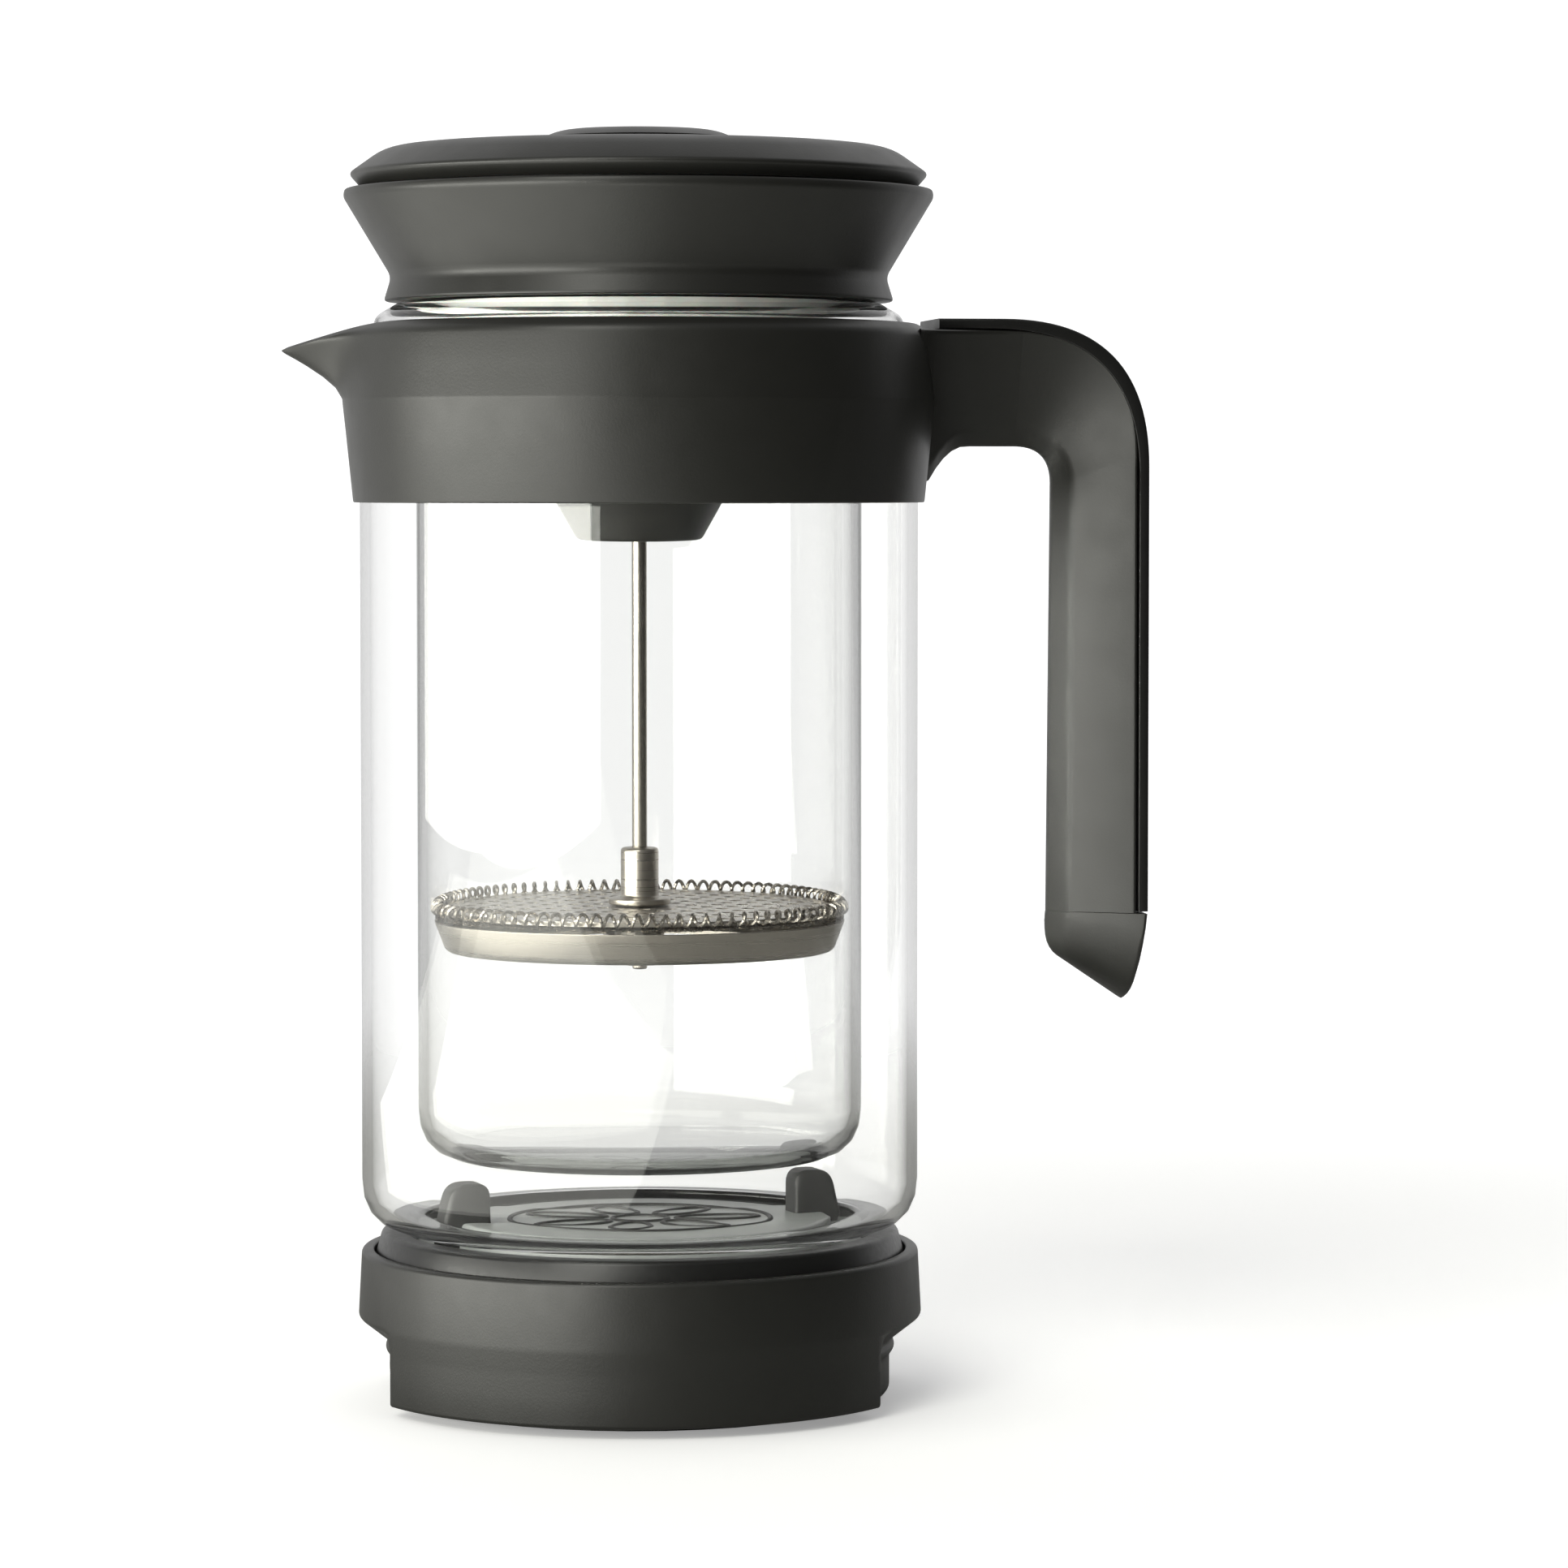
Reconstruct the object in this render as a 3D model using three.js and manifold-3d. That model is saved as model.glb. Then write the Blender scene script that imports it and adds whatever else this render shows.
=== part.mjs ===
// A double-wall french press with a dripper funnel stacked under its lid.
// Millimetres, +Z up. The origin is the centre of the foot pad's underside, the handle points along +X
// and the spout along -X. Everything is coaxial with Z except the spout, the handle and the latch tabs.
import * as THREE from "three";
import { mergeVertices } from "three/addons/utils/BufferGeometryUtils.js";
import Module from "manifold-3d";

const wasm = await Module();
wasm.setup();

// ---------------------------------------------------------------- driving dimensions
const GAP = 0.3; // clearance between pieces that touch
const FIT = 0.4; // clearance round pieces that are pushed together
const SEGMENTS = 40; // facets round a body-sized piece
const SMALL_SEGMENTS = 20; // facets round a rod-sized piece
const ARC_STEPS = 2; // facets along an eased corner

const BASE = {
  footR: 46,
  footTop: 2,
  underside: 1,
  stemR: 50.2,
  beadR: 51.3,
  beadZ: 10.2,
  bandR: 56.6,
  bandBottom: 16.8,
  rimR: 55.9,
  rimZ: 30.2,
  floorZ: 5,
  ledgeR: 44,
  ledgeZ: 28.1,
  channelR: 46.7,
  channelZ: 26,
  mouthR: 53.4,
  skirtHalfWidth: 48.5,
  skirtTurn: -8,
  skirtBottom: 2,
};
const CRADLE = { innerR: 47, outerR: 53.1, topR: 51.8, topZ: 33.9 };
const DECK = { flangeR: 46.4, flangeTop: 30.1, r: 38.6, topZ: 35, recessR: 36.4, recessZ: 32.4 };
const TAB = { inner: 32.2, outer: 42.3, outerTop: 40, topZ: 44.4, thickness: 7, footReach: 4, turn: 12 };

const JACKET = {
  r: 55.8,
  wall: 2,
  bottomZ: 34.3,
  mouthR: 43.3,
  cornerEase: 10,
  waistZ: 203.5,
  neckR: 53,
  neckZ: 213,
  shoulderR: 52.9,
  shoulderZ: 216.6,
  rimR: 48.2,
  rimInnerR: 46.9,
  topZ: 219.3,
};
const BEAKER = { r: 44.5, wall: 1.9, bottomZ: 48.6, floor: 2.2, cornerEase: 10, topZ: 219 };
const NECK_SEAL = { bottomZ: 212 };
const COLLAR = {
  bottomR: 57.1,
  bottomZ: 179.7,
  creaseR: 59.2,
  creaseZ: 200,
  upperR: 58,
  upperZ: 213.4,
  topR: 55.6,
  topZ: 215.3,
  gasketBottom: 190,
  gasketTop: 194,
  gasketR: 57,
};
const SPOUT = { tipX: -72, tipZ: 211.2, rootX: -50, rootHalfWidth: 31, tipHalfWidth: 2.2, wall: 2 };
const HANDLE = {
  width: 26,
  edge: 3.4,
  innerX: 83.4,
  innerFootX: 82.4,
  outerX: 101.5,
  outerEase: 29.5,
  topZ: 216.3,
  armBottomZ: 190.9,
  rootX: 57.2,
  spine: 2.3,
  spineTop: 2.1,
  spineWidth: 23,
  spineEndZ: 97.5,
  heelX: 100.4,
  tipX: 98.3,
  tipZ: 78.8,
  toeZ: 87.6,
  keelWidth: 12,
  keelTopZ: 93,
};
const FLARE = { halfWidth: 21, reach: 74, bottomZ: 193.5, topZ: 213.6 };

const FUNNEL = {
  outletR: 12.5,
  outletBoreR: 10.3,
  outletZ: 171,
  coneR: 35.9,
  plugR: 41.8,
  plugZ: 212.3,
  lipR: 50.9,
  lipZ: 219.7,
  lipTopR: 49.4,
  lipTopZ: 224.6,
  mouthR: 58.9,
  mouthZ: 241.9,
  mouthInnerR: 56.8,
  throatR: 47.2,
  throatZ: 225.6,
  shelfR: 37.4,
  shelfZ: 219.2,
  grooveR: 40.3,
  grooveBottom: 214.2,
  grooveTop: 217.4,
};
const GUIDE = { r: 10, innerR: 8.2, hubR: 3.4, bottomZ: 171.3, topZ: 175.2, spokeWidth: 2, spokes: 3 };

const CAP = {
  bottomR: 57.3,
  bottomZ: 242.3,
  brimR: 57.8,
  brimZ: 244.8,
  shoulderR: 50.6,
  shoulderZ: 250.1,
  crownR: 20,
  crownZ: 251.8,
  wellR: 6.4,
  wellZ: 248.6,
  bossR: 8.5,
  bossZ: 240,
  boreR: 3.8,
  skirtR: 52.6,
  skirtInnerR: 50.4,
  skirtZ: 236.5,
  beadR: 53.6,
  beadTop: 238,
};
const KNOB = { r: 19.4, rimZ: 252.2, shoulderR: 15.6, topZ: 254, stubR: 6, stubZ: 249, socketR: 3.4 };
const ROD = { r: 1.5, boreR: 1.8, bottomZ: 85.8, topZ: 252.2 };
const FILTER = {
  hubR: 3.8,
  hubFlangeR: 6.2,
  hubZ: 98.7,
  hubTop: 110,
  plateR: 39.6,
  plateZ: 97.5,
  plateThick: 0.9,
  springR: 41,
  springWireR: 1.1,
  springZ: 98.5,
  meshR: 41.2,
  meshZ: 96.6,
  meshThick: 0.5,
  panR: 39,
  panTopR: 41.3,
  panZ: 90,
  panTopZ: 96.2,
  sheet: 0.8,
  windowInner: 9,
  windowOuter: 32,
  windows: 4,
  nutR: 5.2,
  nutZ: 86.8,
  spacerR: 5,
};

// ---------------------------------------------------------------- materials
const material = (color, roughness, metalness = 0, opacity = 1) =>
  new THREE.MeshStandardMaterial({ color, roughness, metalness, opacity, transparent: opacity < 1 });

const PLASTIC = material("#4c4d48", 0.55);
const DARK_PLASTIC = material("#2b2c29", 0.5);
const RUBBER = material("#1b1c1b", 0.8);
const DECK_PLASTIC = material("#8d908c", 0.45);
const GLASS = material("#f2f5f5", 0.05, 0, 0.25);
const SILICONE = material("#c9cac4", 0.6);
const STEEL = material("#b7b3aa", 0.3, 1);
const BRASS = material("#b58f4c", 0.35, 1);

// ---------------------------------------------------------------- geometry helpers
// Corners [x, y, ease] moved inwards by inset, square to the sides that meet there. They run anticlockwise.
function insetCorners(corners, inset) {
  const inward = (from, to) => new THREE.Vector2(from[1] - to[1], to[0] - from[0]).normalize();
  return corners.map((corner, i) => {
    const before = corners[(i + corners.length - 1) % corners.length];
    const after = corners[(i + 1) % corners.length];
    const a = inward(before, corner);
    const b = inward(corner, after);
    const shift = a.clone().add(b).multiplyScalar(inset / (1 + a.dot(b)));
    return [corner[0] + shift.x, corner[1] + shift.y, corner[2]];
  });
}

// A closed outline through corners [x, y, ease]; ease is how far from the corner its rounding starts.
function outline(corners) {
  const shape = new THREE.Shape();
  const points = corners.map(([x, y]) => new THREE.Vector2(x, y));
  const towards = (from, to, length) => from.clone().lerp(to, length / from.distanceTo(to));
  corners.forEach(([, , ease = 0], i) => {
    const corner = points[i];
    const before = points[(i + points.length - 1) % points.length];
    const after = points[(i + 1) % points.length];
    const start = ease ? towards(corner, before, ease) : corner;
    if (i === 0) shape.moveTo(start.x, start.y);
    else shape.lineTo(start.x, start.y);
    if (!ease) return;
    const end = towards(corner, after, ease);
    shape.quadraticCurveTo(corner.x, corner.y, end.x, end.y);
  });
  shape.closePath();
  return shape;
}

// A ring or disc about Z. The corners [radius, z, ease] run anticlockwise: up the outer wall, down the inner.
function revolve(corners, segments = SEGMENTS) {
  const profile = outline(corners).getPoints(ARC_STEPS);
  if (!profile[0].equals(profile[profile.length - 1])) profile.push(profile[0].clone());
  return new THREE.LatheGeometry(profile, segments).rotateX(Math.PI / 2);
}

// A plain ring about Z from its inner and outer radius and its heights.
const ring = (inner, outer, bottom, top, segments) =>
  revolve([[inner, bottom], [outer, bottom], [outer, top], [inner, top]], segments);

// A disc or rod about Z.
const disc = (r, bottom, top, segments) =>
  new THREE.CylinderGeometry(r, r, top - bottom, segments ?? SEGMENTS)
    .rotateX(Math.PI / 2)
    .translate(0, 0, (top + bottom) / 2);

const box = (size, centre) => new THREE.BoxGeometry(...size).translate(...centre);

// An (x, z) outline drawn out along Y, centred on the XZ plane. A bevel grows the outline by edge.
function sideSlab(shape, width, edge = 0) {
  return new THREE.ExtrudeGeometry(shape, {
    depth: width - 2 * edge,
    bevelEnabled: edge > 0,
    bevelThickness: edge,
    bevelSize: edge,
    bevelSegments: 3,
    curveSegments: 6,
  })
    .translate(0, 0, edge - width / 2)
    .rotateX(Math.PI / 2);
}

// The same from anticlockwise (x, z) corners, with its long edges rounded by edge and its size kept.
const roundedSlab = (corners, width, edge) => sideSlab(outline(insetCorners(corners, edge)), width, edge);

// An (x, y) outline drawn up along Z.
const planSlab = (shape, bottom, top) =>
  new THREE.ExtrudeGeometry(shape, { depth: top - bottom, bevelEnabled: false, curveSegments: 6 }).translate(
    0,
    0,
    bottom,
  );

// A (y, z) outline drawn out along X.
const frontSlab = (shape, from, to) =>
  new THREE.ExtrudeGeometry(shape, { depth: to - from, bevelEnabled: false })
    .rotateX(Math.PI / 2)
    .rotateZ(Math.PI / 2)
    .translate(from, 0, 0);

function solid(geometry) {
  const bare = geometry.clone();
  bare.deleteAttribute("normal");
  bare.deleteAttribute("uv");
  const merged = mergeVertices(bare, 1e-4);
  const made = new wasm.Manifold(
    new wasm.Mesh({
      numProp: 3,
      vertProperties: new Float32Array(merged.attributes.position.array),
      triVerts: new Uint32Array(merged.index.array),
    }),
  );
  return made;
}

function surface(manifold) {
  const mesh = manifold.getMesh();
  return new THREE.BufferGeometry()
    .setAttribute("position", new THREE.BufferAttribute(mesh.vertProperties, 3))
    .setIndex(new THREE.BufferAttribute(mesh.triVerts, 1));
}

const join = (...parts) => surface(parts.map(solid).reduce((all, part) => all.add(part)));
const cut = (body, ...tools) => surface(tools.map(solid).reduce((left, tool) => left.subtract(tool), solid(body)));
const common = (a, b) => surface(solid(a).intersect(solid(b)));

const assembly = new THREE.Group();

function add(group, name, geometry, look) {
  const mesh = new THREE.Mesh(geometry, look);
  mesh.name = name;
  group.add(mesh);
  return mesh;
}

// ---------------------------------------------------------------- base
function baseCup() {
  const cup = revolve([
    [BASE.footR + GAP, BASE.underside],
    [BASE.stemR - 0.8, BASE.underside],
    [BASE.stemR, BASE.skirtBottom],
    [BASE.stemR, BASE.beadZ - 1.5],
    [BASE.beadR, BASE.beadZ],
    [BASE.stemR + 0.5, BASE.beadZ + 2],
    [BASE.bandR, BASE.bandBottom, 0.8],
    [BASE.rimR, BASE.rimZ, 0.9],
    [BASE.mouthR, BASE.rimZ],
    [BASE.mouthR, BASE.channelZ],
    [BASE.channelR, BASE.channelZ],
    [BASE.channelR, BASE.ledgeZ],
    [BASE.ledgeR, BASE.ledgeZ],
    [BASE.ledgeR, BASE.floorZ],
    [0, BASE.floorZ],
    [0, BASE.footTop + GAP],
    [BASE.footR + GAP, BASE.footTop + GAP],
  ]);
  // The skirt brings the band's full radius down to the foot at front and back, between the grip recesses.
  const skirtRing = ring(BASE.stemR - 2, BASE.bandR - 0.1, BASE.skirtBottom, BASE.bandBottom + 0.5);
  const skirtSpan = BASE.bandR * 2;
  const turn = THREE.MathUtils.degToRad(BASE.skirtTurn);
  const frontAndBack = box(
    [BASE.skirtHalfWidth * 2, skirtSpan, skirtSpan],
    [0, 0, BASE.bandBottom],
  ).rotateZ(turn);
  const middle = box([skirtSpan, BASE.stemR, skirtSpan], [0, 0, BASE.bandBottom]).rotateZ(turn);
  return join(cup, cut(common(skirtRing, frontAndBack), middle));
}

// A finger that stands on the cup's floor, comes up through the deck and holds the jar's bottom opening.
function latchTab() {
  const foot = BASE.floorZ + GAP;
  return roundedSlab(
    [
      [TAB.inner - TAB.footReach, foot],
      [TAB.outer + 1, foot],
      [TAB.outer + 1, foot + 3],
      [TAB.outer, foot + 4],
      [TAB.outer, DECK.topZ - 1],
      [TAB.outerTop, TAB.topZ, 3],
      [TAB.inner, TAB.topZ, 2.6],
      [TAB.inner, foot + 3],
      [TAB.inner - TAB.footReach, foot + 3],
    ],
    TAB.thickness,
    0.8,
  );
}

function deckDisc() {
  const deck = revolve([
    [DECK.recessR, BASE.ledgeZ + GAP],
    [DECK.flangeR, BASE.ledgeZ + GAP],
    [DECK.flangeR, DECK.flangeTop],
    [DECK.r + 0.6, DECK.flangeTop],
    [DECK.r, DECK.topZ, 1],
    [0, DECK.topZ],
    [0, DECK.recessZ],
    [DECK.recessR, DECK.recessZ],
  ]);
  const slotLength = TAB.outer - TAB.inner + 2 * FIT;
  const slot = (side) =>
    box(
      [slotLength, TAB.thickness + 2 * FIT, DECK.topZ],
      [(side * (TAB.outer + TAB.inner)) / 2, 0, DECK.topZ],
    ).rotateZ(THREE.MathUtils.degToRad(TAB.turn));
  return cut(deck, slot(1), slot(-1));
}

const base = new THREE.Group();
assembly.add(base);
add(base, "foot_pad", disc(BASE.footR, 0, BASE.footTop), RUBBER);
add(base, "base_cup", baseCup(), PLASTIC);
add(
  base,
  "cradle_ring",
  revolve([
    [CRADLE.innerR, BASE.channelZ + GAP],
    [CRADLE.outerR, BASE.channelZ + GAP],
    [CRADLE.outerR, BASE.rimZ - 1.2],
    [CRADLE.topR, CRADLE.topZ, 0.8],
    [CRADLE.innerR, CRADLE.topZ, 0.8],
  ]),
  RUBBER,
);
add(base, "deck_disc", deckDisc(), DECK_PLASTIC);
for (const [name, halfTurn] of [
  ["latch_tab_right", 0],
  ["latch_tab_left", 180],
]) {
  add(base, name, latchTab(), DARK_PLASTIC).rotation.z = THREE.MathUtils.degToRad(TAB.turn + halfTurn);
}

// ---------------------------------------------------------------- carafe
function outerJacket() {
  const inner = JACKET.r - JACKET.wall;
  return revolve([
    [JACKET.mouthR, JACKET.bottomZ],
    [JACKET.r, JACKET.bottomZ, JACKET.cornerEase],
    [JACKET.r, JACKET.waistZ],
    [JACKET.neckR, JACKET.neckZ],
    [JACKET.shoulderR, JACKET.shoulderZ],
    [JACKET.rimR, JACKET.topZ],
    [JACKET.rimInnerR, JACKET.topZ],
    [JACKET.rimInnerR, JACKET.topZ - JACKET.wall],
    [JACKET.shoulderR - JACKET.wall, JACKET.shoulderZ - 1.2],
    [JACKET.neckR - JACKET.wall, JACKET.neckZ - 0.4],
    [inner, JACKET.waistZ - 0.4],
    [inner, JACKET.bottomZ + JACKET.wall, JACKET.cornerEase - JACKET.wall],
    [JACKET.mouthR, JACKET.bottomZ + JACKET.wall],
  ]);
}

function innerBeaker() {
  const inner = BEAKER.r - BEAKER.wall;
  return revolve([
    [0, BEAKER.bottomZ],
    [BEAKER.r, BEAKER.bottomZ, BEAKER.cornerEase],
    [BEAKER.r, BEAKER.topZ],
    [inner, BEAKER.topZ],
    [inner, BEAKER.bottomZ + BEAKER.floor, BEAKER.cornerEase - BEAKER.wall],
    [0, BEAKER.bottomZ + BEAKER.floor],
  ]);
}

// The space that the jar fills inside the collar, with the gasket's groove.
function collarBore() {
  const below = COLLAR.bottomZ - 10;
  const above = COLLAR.topZ + 10;
  return revolve([
    [0, below],
    [JACKET.r + FIT, below],
    [JACKET.r + FIT, COLLAR.gasketBottom - GAP],
    [COLLAR.gasketR + GAP, COLLAR.gasketBottom - GAP],
    [COLLAR.gasketR + GAP, COLLAR.gasketTop + GAP],
    [JACKET.r + FIT, COLLAR.gasketTop + GAP],
    [JACKET.r + FIT, JACKET.waistZ + 0.2],
    [JACKET.neckR + FIT, JACKET.neckZ + 0.2],
    [JACKET.neckR + FIT, above],
    [0, above],
  ]);
}

// The half outline of the beak seen from above, from root to tip, mirrored about the X axis.
function beakPlan(inset) {
  const root = SPOUT.rootHalfWidth - inset;
  const tip = SPOUT.tipHalfWidth - inset * 0.6;
  const tipX = SPOUT.tipX + inset;
  const shape = new THREE.Shape();
  shape.moveTo(SPOUT.rootX, -root);
  shape.lineTo(SPOUT.rootX, root);
  shape.quadraticCurveTo(SPOUT.rootX - 9.5, root / 2.7, tipX + 1.6, tip);
  shape.quadraticCurveTo(tipX - 1.2, 0, tipX + 1.6, -tip);
  shape.quadraticCurveTo(SPOUT.rootX - 9.5, -root / 2.7, SPOUT.rootX, -root);
  return shape;
}

function spoutBody() {
  const side = new THREE.Shape();
  side.moveTo(SPOUT.rootX, COLLAR.topZ);
  side.lineTo(-57, COLLAR.topZ);
  side.quadraticCurveTo(-67, 215, SPOUT.tipX, SPOUT.tipZ + 0.5);
  side.lineTo(SPOUT.tipX, SPOUT.tipZ);
  side.quadraticCurveTo(-63, 206.5, -COLLAR.creaseR + 0.4, COLLAR.creaseZ - 0.5);
  side.lineTo(SPOUT.rootX, COLLAR.creaseZ - 0.5);
  side.closePath();
  return common(sideSlab(side, 90), planSlab(beakPlan(0), COLLAR.creaseZ - 5, COLLAR.topZ + 5));
}

function spoutTrough() {
  const side = outline([
    [-54, 209],
    [-54, 225],
    [-74, 225],
    [-71.5, 213.6],
    [-63, 210],
  ]);
  return common(sideSlab(side, 80), planSlab(beakPlan(SPOUT.wall), COLLAR.creaseZ, COLLAR.topZ + 12));
}

// The moulded handle: an arm, a grip with a slanted foot that narrows like a keel, and the spine's channel.
function handleBody() {
  const coreX = HANDLE.outerX - HANDLE.spine - GAP;
  const coreTop = HANDLE.topZ - HANDLE.spineTop - GAP;
  const channelEnd = HANDLE.spineEndZ - GAP;
  const side = [
    [HANDLE.rootX, HANDLE.topZ - 0.4],
    [HANDLE.rootX, HANDLE.armBottomZ],
    [HANDLE.innerX, HANDLE.armBottomZ, 8],
    [HANDLE.innerFootX, HANDLE.toeZ + 2, 5],
    [HANDLE.tipX, HANDLE.tipZ, 3],
    [HANDLE.heelX, HANDLE.topZ - 0.4, HANDLE.outerEase - 1],
  ];
  const half = HANDLE.width / 2;
  const keel = outline([
    [-half, HANDLE.topZ + 5],
    [-half, HANDLE.keelTopZ],
    [-HANDLE.keelWidth / 2, HANDLE.tipZ - 1],
    [HANDLE.keelWidth / 2, HANDLE.tipZ - 1],
    [half, HANDLE.keelTopZ],
    [half, HANDLE.topZ + 5],
  ]);
  const channel = outline([
    [HANDLE.rootX - 5, coreTop],
    [coreX, coreTop, HANDLE.outerEase - HANDLE.spine],
    [coreX, channelEnd],
    [HANDLE.outerX + 5, channelEnd],
    [HANDLE.outerX + 5, HANDLE.topZ + 5],
    [HANDLE.rootX - 5, HANDLE.topZ + 5],
  ]);
  const core = cut(roundedSlab(side, HANDLE.width, HANDLE.edge), sideSlab(channel, HANDLE.width + 2));
  return common(core, frontSlab(keel, COLLAR.bottomR - 10, HANDLE.outerX + 10));
}

// The web that widens the arm where it grows out of the collar.
function armFlare() {
  const half = HANDLE.width / 2 - HANDLE.edge;
  const shape = new THREE.Shape();
  shape.moveTo(HANDLE.rootX - 4, -FLARE.halfWidth);
  shape.quadraticCurveTo(HANDLE.rootX + 4, -half, FLARE.reach, -half);
  shape.lineTo(FLARE.reach, half);
  shape.quadraticCurveTo(HANDLE.rootX + 4, half, HANDLE.rootX - 4, FLARE.halfWidth);
  shape.closePath();
  return planSlab(shape, FLARE.bottomZ, FLARE.topZ - 0.6);
}

function handleSpine() {
  const inner = HANDLE.outerX - HANDLE.spine;
  const under = HANDLE.topZ - HANDLE.spineTop;
  const root = COLLAR.upperR + 0.8;
  const corners = [
    [root, under],
    [inner, under, HANDLE.outerEase - HANDLE.spine],
    [inner, HANDLE.spineEndZ],
    [HANDLE.outerX, HANDLE.spineEndZ],
    [HANDLE.outerX, HANDLE.topZ, HANDLE.outerEase],
    [root, HANDLE.topZ],
  ];
  return roundedSlab(corners, HANDLE.spineWidth, 0.6);
}

function collarAndHandle() {
  const drum = revolve([
    [0, COLLAR.bottomZ],
    [COLLAR.bottomR, COLLAR.bottomZ, 0.4],
    [COLLAR.creaseR, COLLAR.creaseZ],
    [COLLAR.upperR, COLLAR.upperZ, 1],
    [COLLAR.topR, COLLAR.topZ],
    [0, COLLAR.topZ],
  ]);
  return cut(join(drum, spoutBody(), handleBody(), armFlare()), collarBore(), spoutTrough());
}

const carafe = new THREE.Group();
assembly.add(carafe);
add(carafe, "outer_jacket", outerJacket(), GLASS);
add(carafe, "inner_beaker", innerBeaker(), GLASS);
add(
  carafe,
  "neck_seal",
  ring(BEAKER.r + GAP, JACKET.rimInnerR - GAP, NECK_SEAL.bottomZ, JACKET.topZ - GAP),
  SILICONE,
);
add(carafe, "collar_and_handle", collarAndHandle(), PLASTIC);
add(carafe, "handle_spine", handleSpine(), DARK_PLASTIC);
add(
  carafe,
  "collar_gasket",
  ring(JACKET.r + GAP, COLLAR.gasketR, COLLAR.gasketBottom, COLLAR.gasketTop),
  SILICONE,
);

// ---------------------------------------------------------------- dripper funnel
function funnelBody() {
  return revolve([
    [FUNNEL.outletBoreR, FUNNEL.outletZ],
    [FUNNEL.outletR, FUNNEL.outletZ, 0.8],
    [FUNNEL.coneR, FUNNEL.plugZ],
    [FUNNEL.plugR, FUNNEL.plugZ],
    [FUNNEL.plugR, FUNNEL.grooveBottom],
    [FUNNEL.grooveR, FUNNEL.grooveBottom],
    [FUNNEL.grooveR, FUNNEL.grooveTop],
    [FUNNEL.plugR, FUNNEL.grooveTop],
    [FUNNEL.plugR, FUNNEL.lipZ],
    [FUNNEL.lipR, FUNNEL.lipZ, 0.5],
    [FUNNEL.lipTopR, FUNNEL.lipTopZ, 1],
    [FUNNEL.mouthR, FUNNEL.mouthZ - 1.5, 0.7],
    [FUNNEL.mouthR - 0.3, FUNNEL.mouthZ],
    [FUNNEL.mouthInnerR, FUNNEL.mouthZ],
    [FUNNEL.throatR, FUNNEL.throatZ],
    [FUNNEL.shelfR, FUNNEL.shelfZ],
    [FUNNEL.outletBoreR, FUNNEL.outletZ + 2.2],
  ]);
}

function rodGuide() {
  const rim = ring(GUIDE.innerR, GUIDE.r, GUIDE.bottomZ, GUIDE.topZ, SEGMENTS);
  const hub = ring(ROD.boreR, GUIDE.hubR, GUIDE.bottomZ, GUIDE.topZ, SEGMENTS);
  const middle = (GUIDE.hubR + GUIDE.innerR) / 2;
  const height = GUIDE.topZ - GUIDE.bottomZ - 1;
  const spokes = Array.from({ length: GUIDE.spokes }, (_, i) =>
    box(
      [GUIDE.innerR - GUIDE.hubR + 1, GUIDE.spokeWidth, height],
      [middle, 0, GUIDE.bottomZ + 0.5 + height / 2],
    ).rotateZ((i * 2 * Math.PI) / GUIDE.spokes),
  );
  return join(rim, hub, ...spokes);
}

const funnel = new THREE.Group();
assembly.add(funnel);
add(funnel, "dripper_funnel", funnelBody(), PLASTIC);
add(
  funnel,
  "funnel_gasket",
  ring(
    FUNNEL.grooveR + GAP,
    BEAKER.r - BEAKER.wall - GAP,
    FUNNEL.grooveBottom + GAP,
    FUNNEL.grooveTop - GAP,
  ),
  SILICONE,
);
add(funnel, "rod_guide", rodGuide(), DARK_PLASTIC);

// ---------------------------------------------------------------- lid
function lidCap() {
  return revolve([
    [CAP.skirtInnerR, CAP.skirtZ],
    [CAP.beadR, CAP.skirtZ],
    [CAP.beadR, CAP.beadTop],
    [CAP.skirtR, CAP.beadTop],
    [CAP.skirtR, CAP.bottomZ],
    [CAP.bottomR, CAP.bottomZ],
    [CAP.brimR, CAP.brimZ, 1.2],
    [CAP.shoulderR, CAP.shoulderZ, 2.4],
    [CAP.crownR, CAP.crownZ],
    [CAP.wellR, CAP.crownZ],
    [CAP.wellR, CAP.wellZ],
    [CAP.boreR, CAP.wellZ],
    [CAP.boreR, CAP.bossZ],
    [CAP.bossR, CAP.bossZ],
    [CAP.bossR, CAP.crownZ - 2.3],
    [CAP.shoulderR - 2.5, CAP.shoulderZ - 2.4],
    [CAP.skirtInnerR, CAP.brimZ],
  ]);
}

const lid = new THREE.Group();
assembly.add(lid);
add(lid, "lid_cap", lidCap(), PLASTIC);
add(
  lid,
  "lid_seal",
  revolve([
    [CAP.skirtR + GAP, CAP.beadTop + GAP],
    [CAP.skirtR + 1.5, CAP.beadTop + GAP],
    [CAP.skirtR + 2.2, CAP.beadTop + 3.2],
    [CAP.skirtR + GAP, CAP.beadTop + 3.2],
  ]),
  SILICONE,
);
add(
  lid,
  "rod_bush",
  revolve(
    [
      [ROD.boreR, CAP.bossZ - 1.4],
      [CAP.boreR + 2, CAP.bossZ - 1.4],
      [CAP.boreR + 2, CAP.bossZ - GAP],
      [CAP.boreR - GAP, CAP.bossZ - GAP],
      [CAP.boreR - GAP, CAP.wellZ - GAP],
      [ROD.boreR, CAP.wellZ - GAP],
    ],
    SMALL_SEGMENTS,
  ),
  DARK_PLASTIC,
);

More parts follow.
